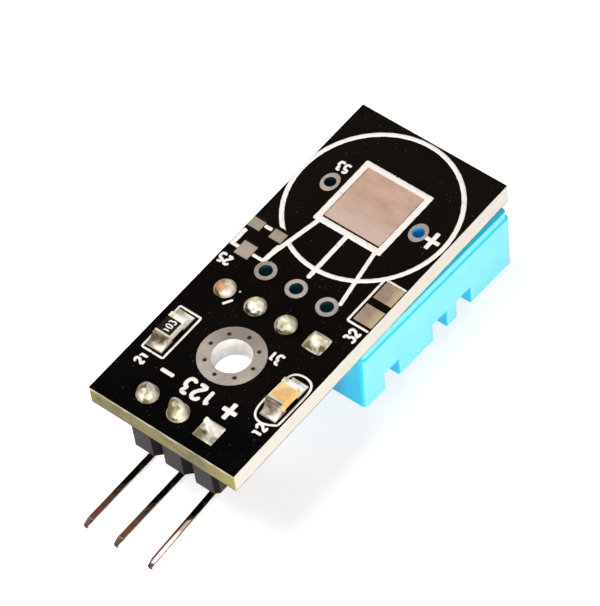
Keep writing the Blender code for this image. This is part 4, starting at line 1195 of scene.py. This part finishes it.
# Barrels painted with the blue sensor below: in shade for the row of three and the left oval, lit for the
# right oval.
SHADED_TEAL_HOLE = hole_finish("shaded_teal_barrel", (0.02, 0.075, 0.105))
SHADED_NAVY_HOLE = hole_finish("shaded_navy_barrel", (0.012, 0.040, 0.10))
LIT_BLUE_HOLE = hole_finish("lit_blue_barrel", (0.02, 0.60, 0.98))
for name in ("left", "middle", "right"):
    plated_hole("header_pad_" + name, HEADER_BORE, DULL, 1.0 if name == "right" else 0.0)
    plated_hole("spare_hole_" + name, SPARE_BORE, SHADED_TEAL_HOLE)
plated_hole("oval_spare_hole_left", OVAL_BORE, SHADED_NAVY_HOLE)
plated_hole("oval_spare_hole_right", OVAL_BORE, LIT_BLUE_HOLE)
for i in range(1, 5):
    plated_hole(f"sensor_pad_{i}", LEAD_BORE, DULL, 0.78 if i == 4 else 0.0)
print("12 plated holes")


# %% [markdown]
# Moulded and cut pieces never have knife edges. The shell, its cover, the strip, the pins, the leads and
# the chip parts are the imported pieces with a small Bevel. That keeps their form, and it gives each edge the
# thin bright line that a camera finds on plastic and on metal. A Weighted Normal then shades every flat face
# as flat, so that a pin's top mirrors one part of the room and not all of it.

# %% Soft edges
SOFT_EDGES = {
    "sensor_shell": 0.1, "sensor_cover": 0.08, "sensor_inner_board": 0.03, "humidity_plate": 0.03,
    "thermistor": 0.04, "signal_chip": 0.04, "header_strip": 0.07,
    "header_pin_left": 0.11, "header_pin_middle": 0.11, "header_pin_right": 0.11,
    "sensor_lead_1": 0.03, "sensor_lead_2": 0.03, "sensor_lead_3": 0.03, "sensor_lead_4": 0.03,
    "resistor_body": 0.04, "capacitor_body": 0.07,
    "resistor_near_cap": 0.02, "resistor_far_cap": 0.02,
    "capacitor_near_cap": 0.02, "capacitor_far_cap": 0.02,
}


def softened(node, width, finish):
    """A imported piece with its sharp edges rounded: its mesh merged, its flat faces whole, then a Bevel."""
    bm = bmesh.new()
    bm.from_mesh(nodes[node].data)
    bmesh.ops.remove_doubles(bm, verts=bm.verts, dist=1e-4 * MM)
    bmesh.ops.dissolve_limit(bm, angle_limit=math.radians(0.5), verts=bm.verts, edges=bm.edges)
    mesh = bpy.data.meshes.new("soft_" + node)
    bm.to_mesh(mesh)
    bm.free()
    piece = finish_mesh("soft_" + node, mesh, finish, [node], 180)
    bevel = piece.modifiers.new("rounded edges", "BEVEL")
    bevel.width = width * MM
    bevel.segments = 2
    bevel.limit_method = "ANGLE"
    bevel.angle_limit = math.radians(25)
    bevel.harden_normals = True
    level = piece.modifiers.new("flat faces stay flat", "WEIGHTED_NORMAL")
    level.mode = "FACE_AREA"
    level.weight = 60


for name, width in SOFT_EDGES.items():
    slot = SLOT_OF_NODE[name]
    softened(name, width, pin_finish(name) if slot == "pin_metal" else FINISHES[slot])
print(len(SOFT_EDGES), "pieces with soft edges")
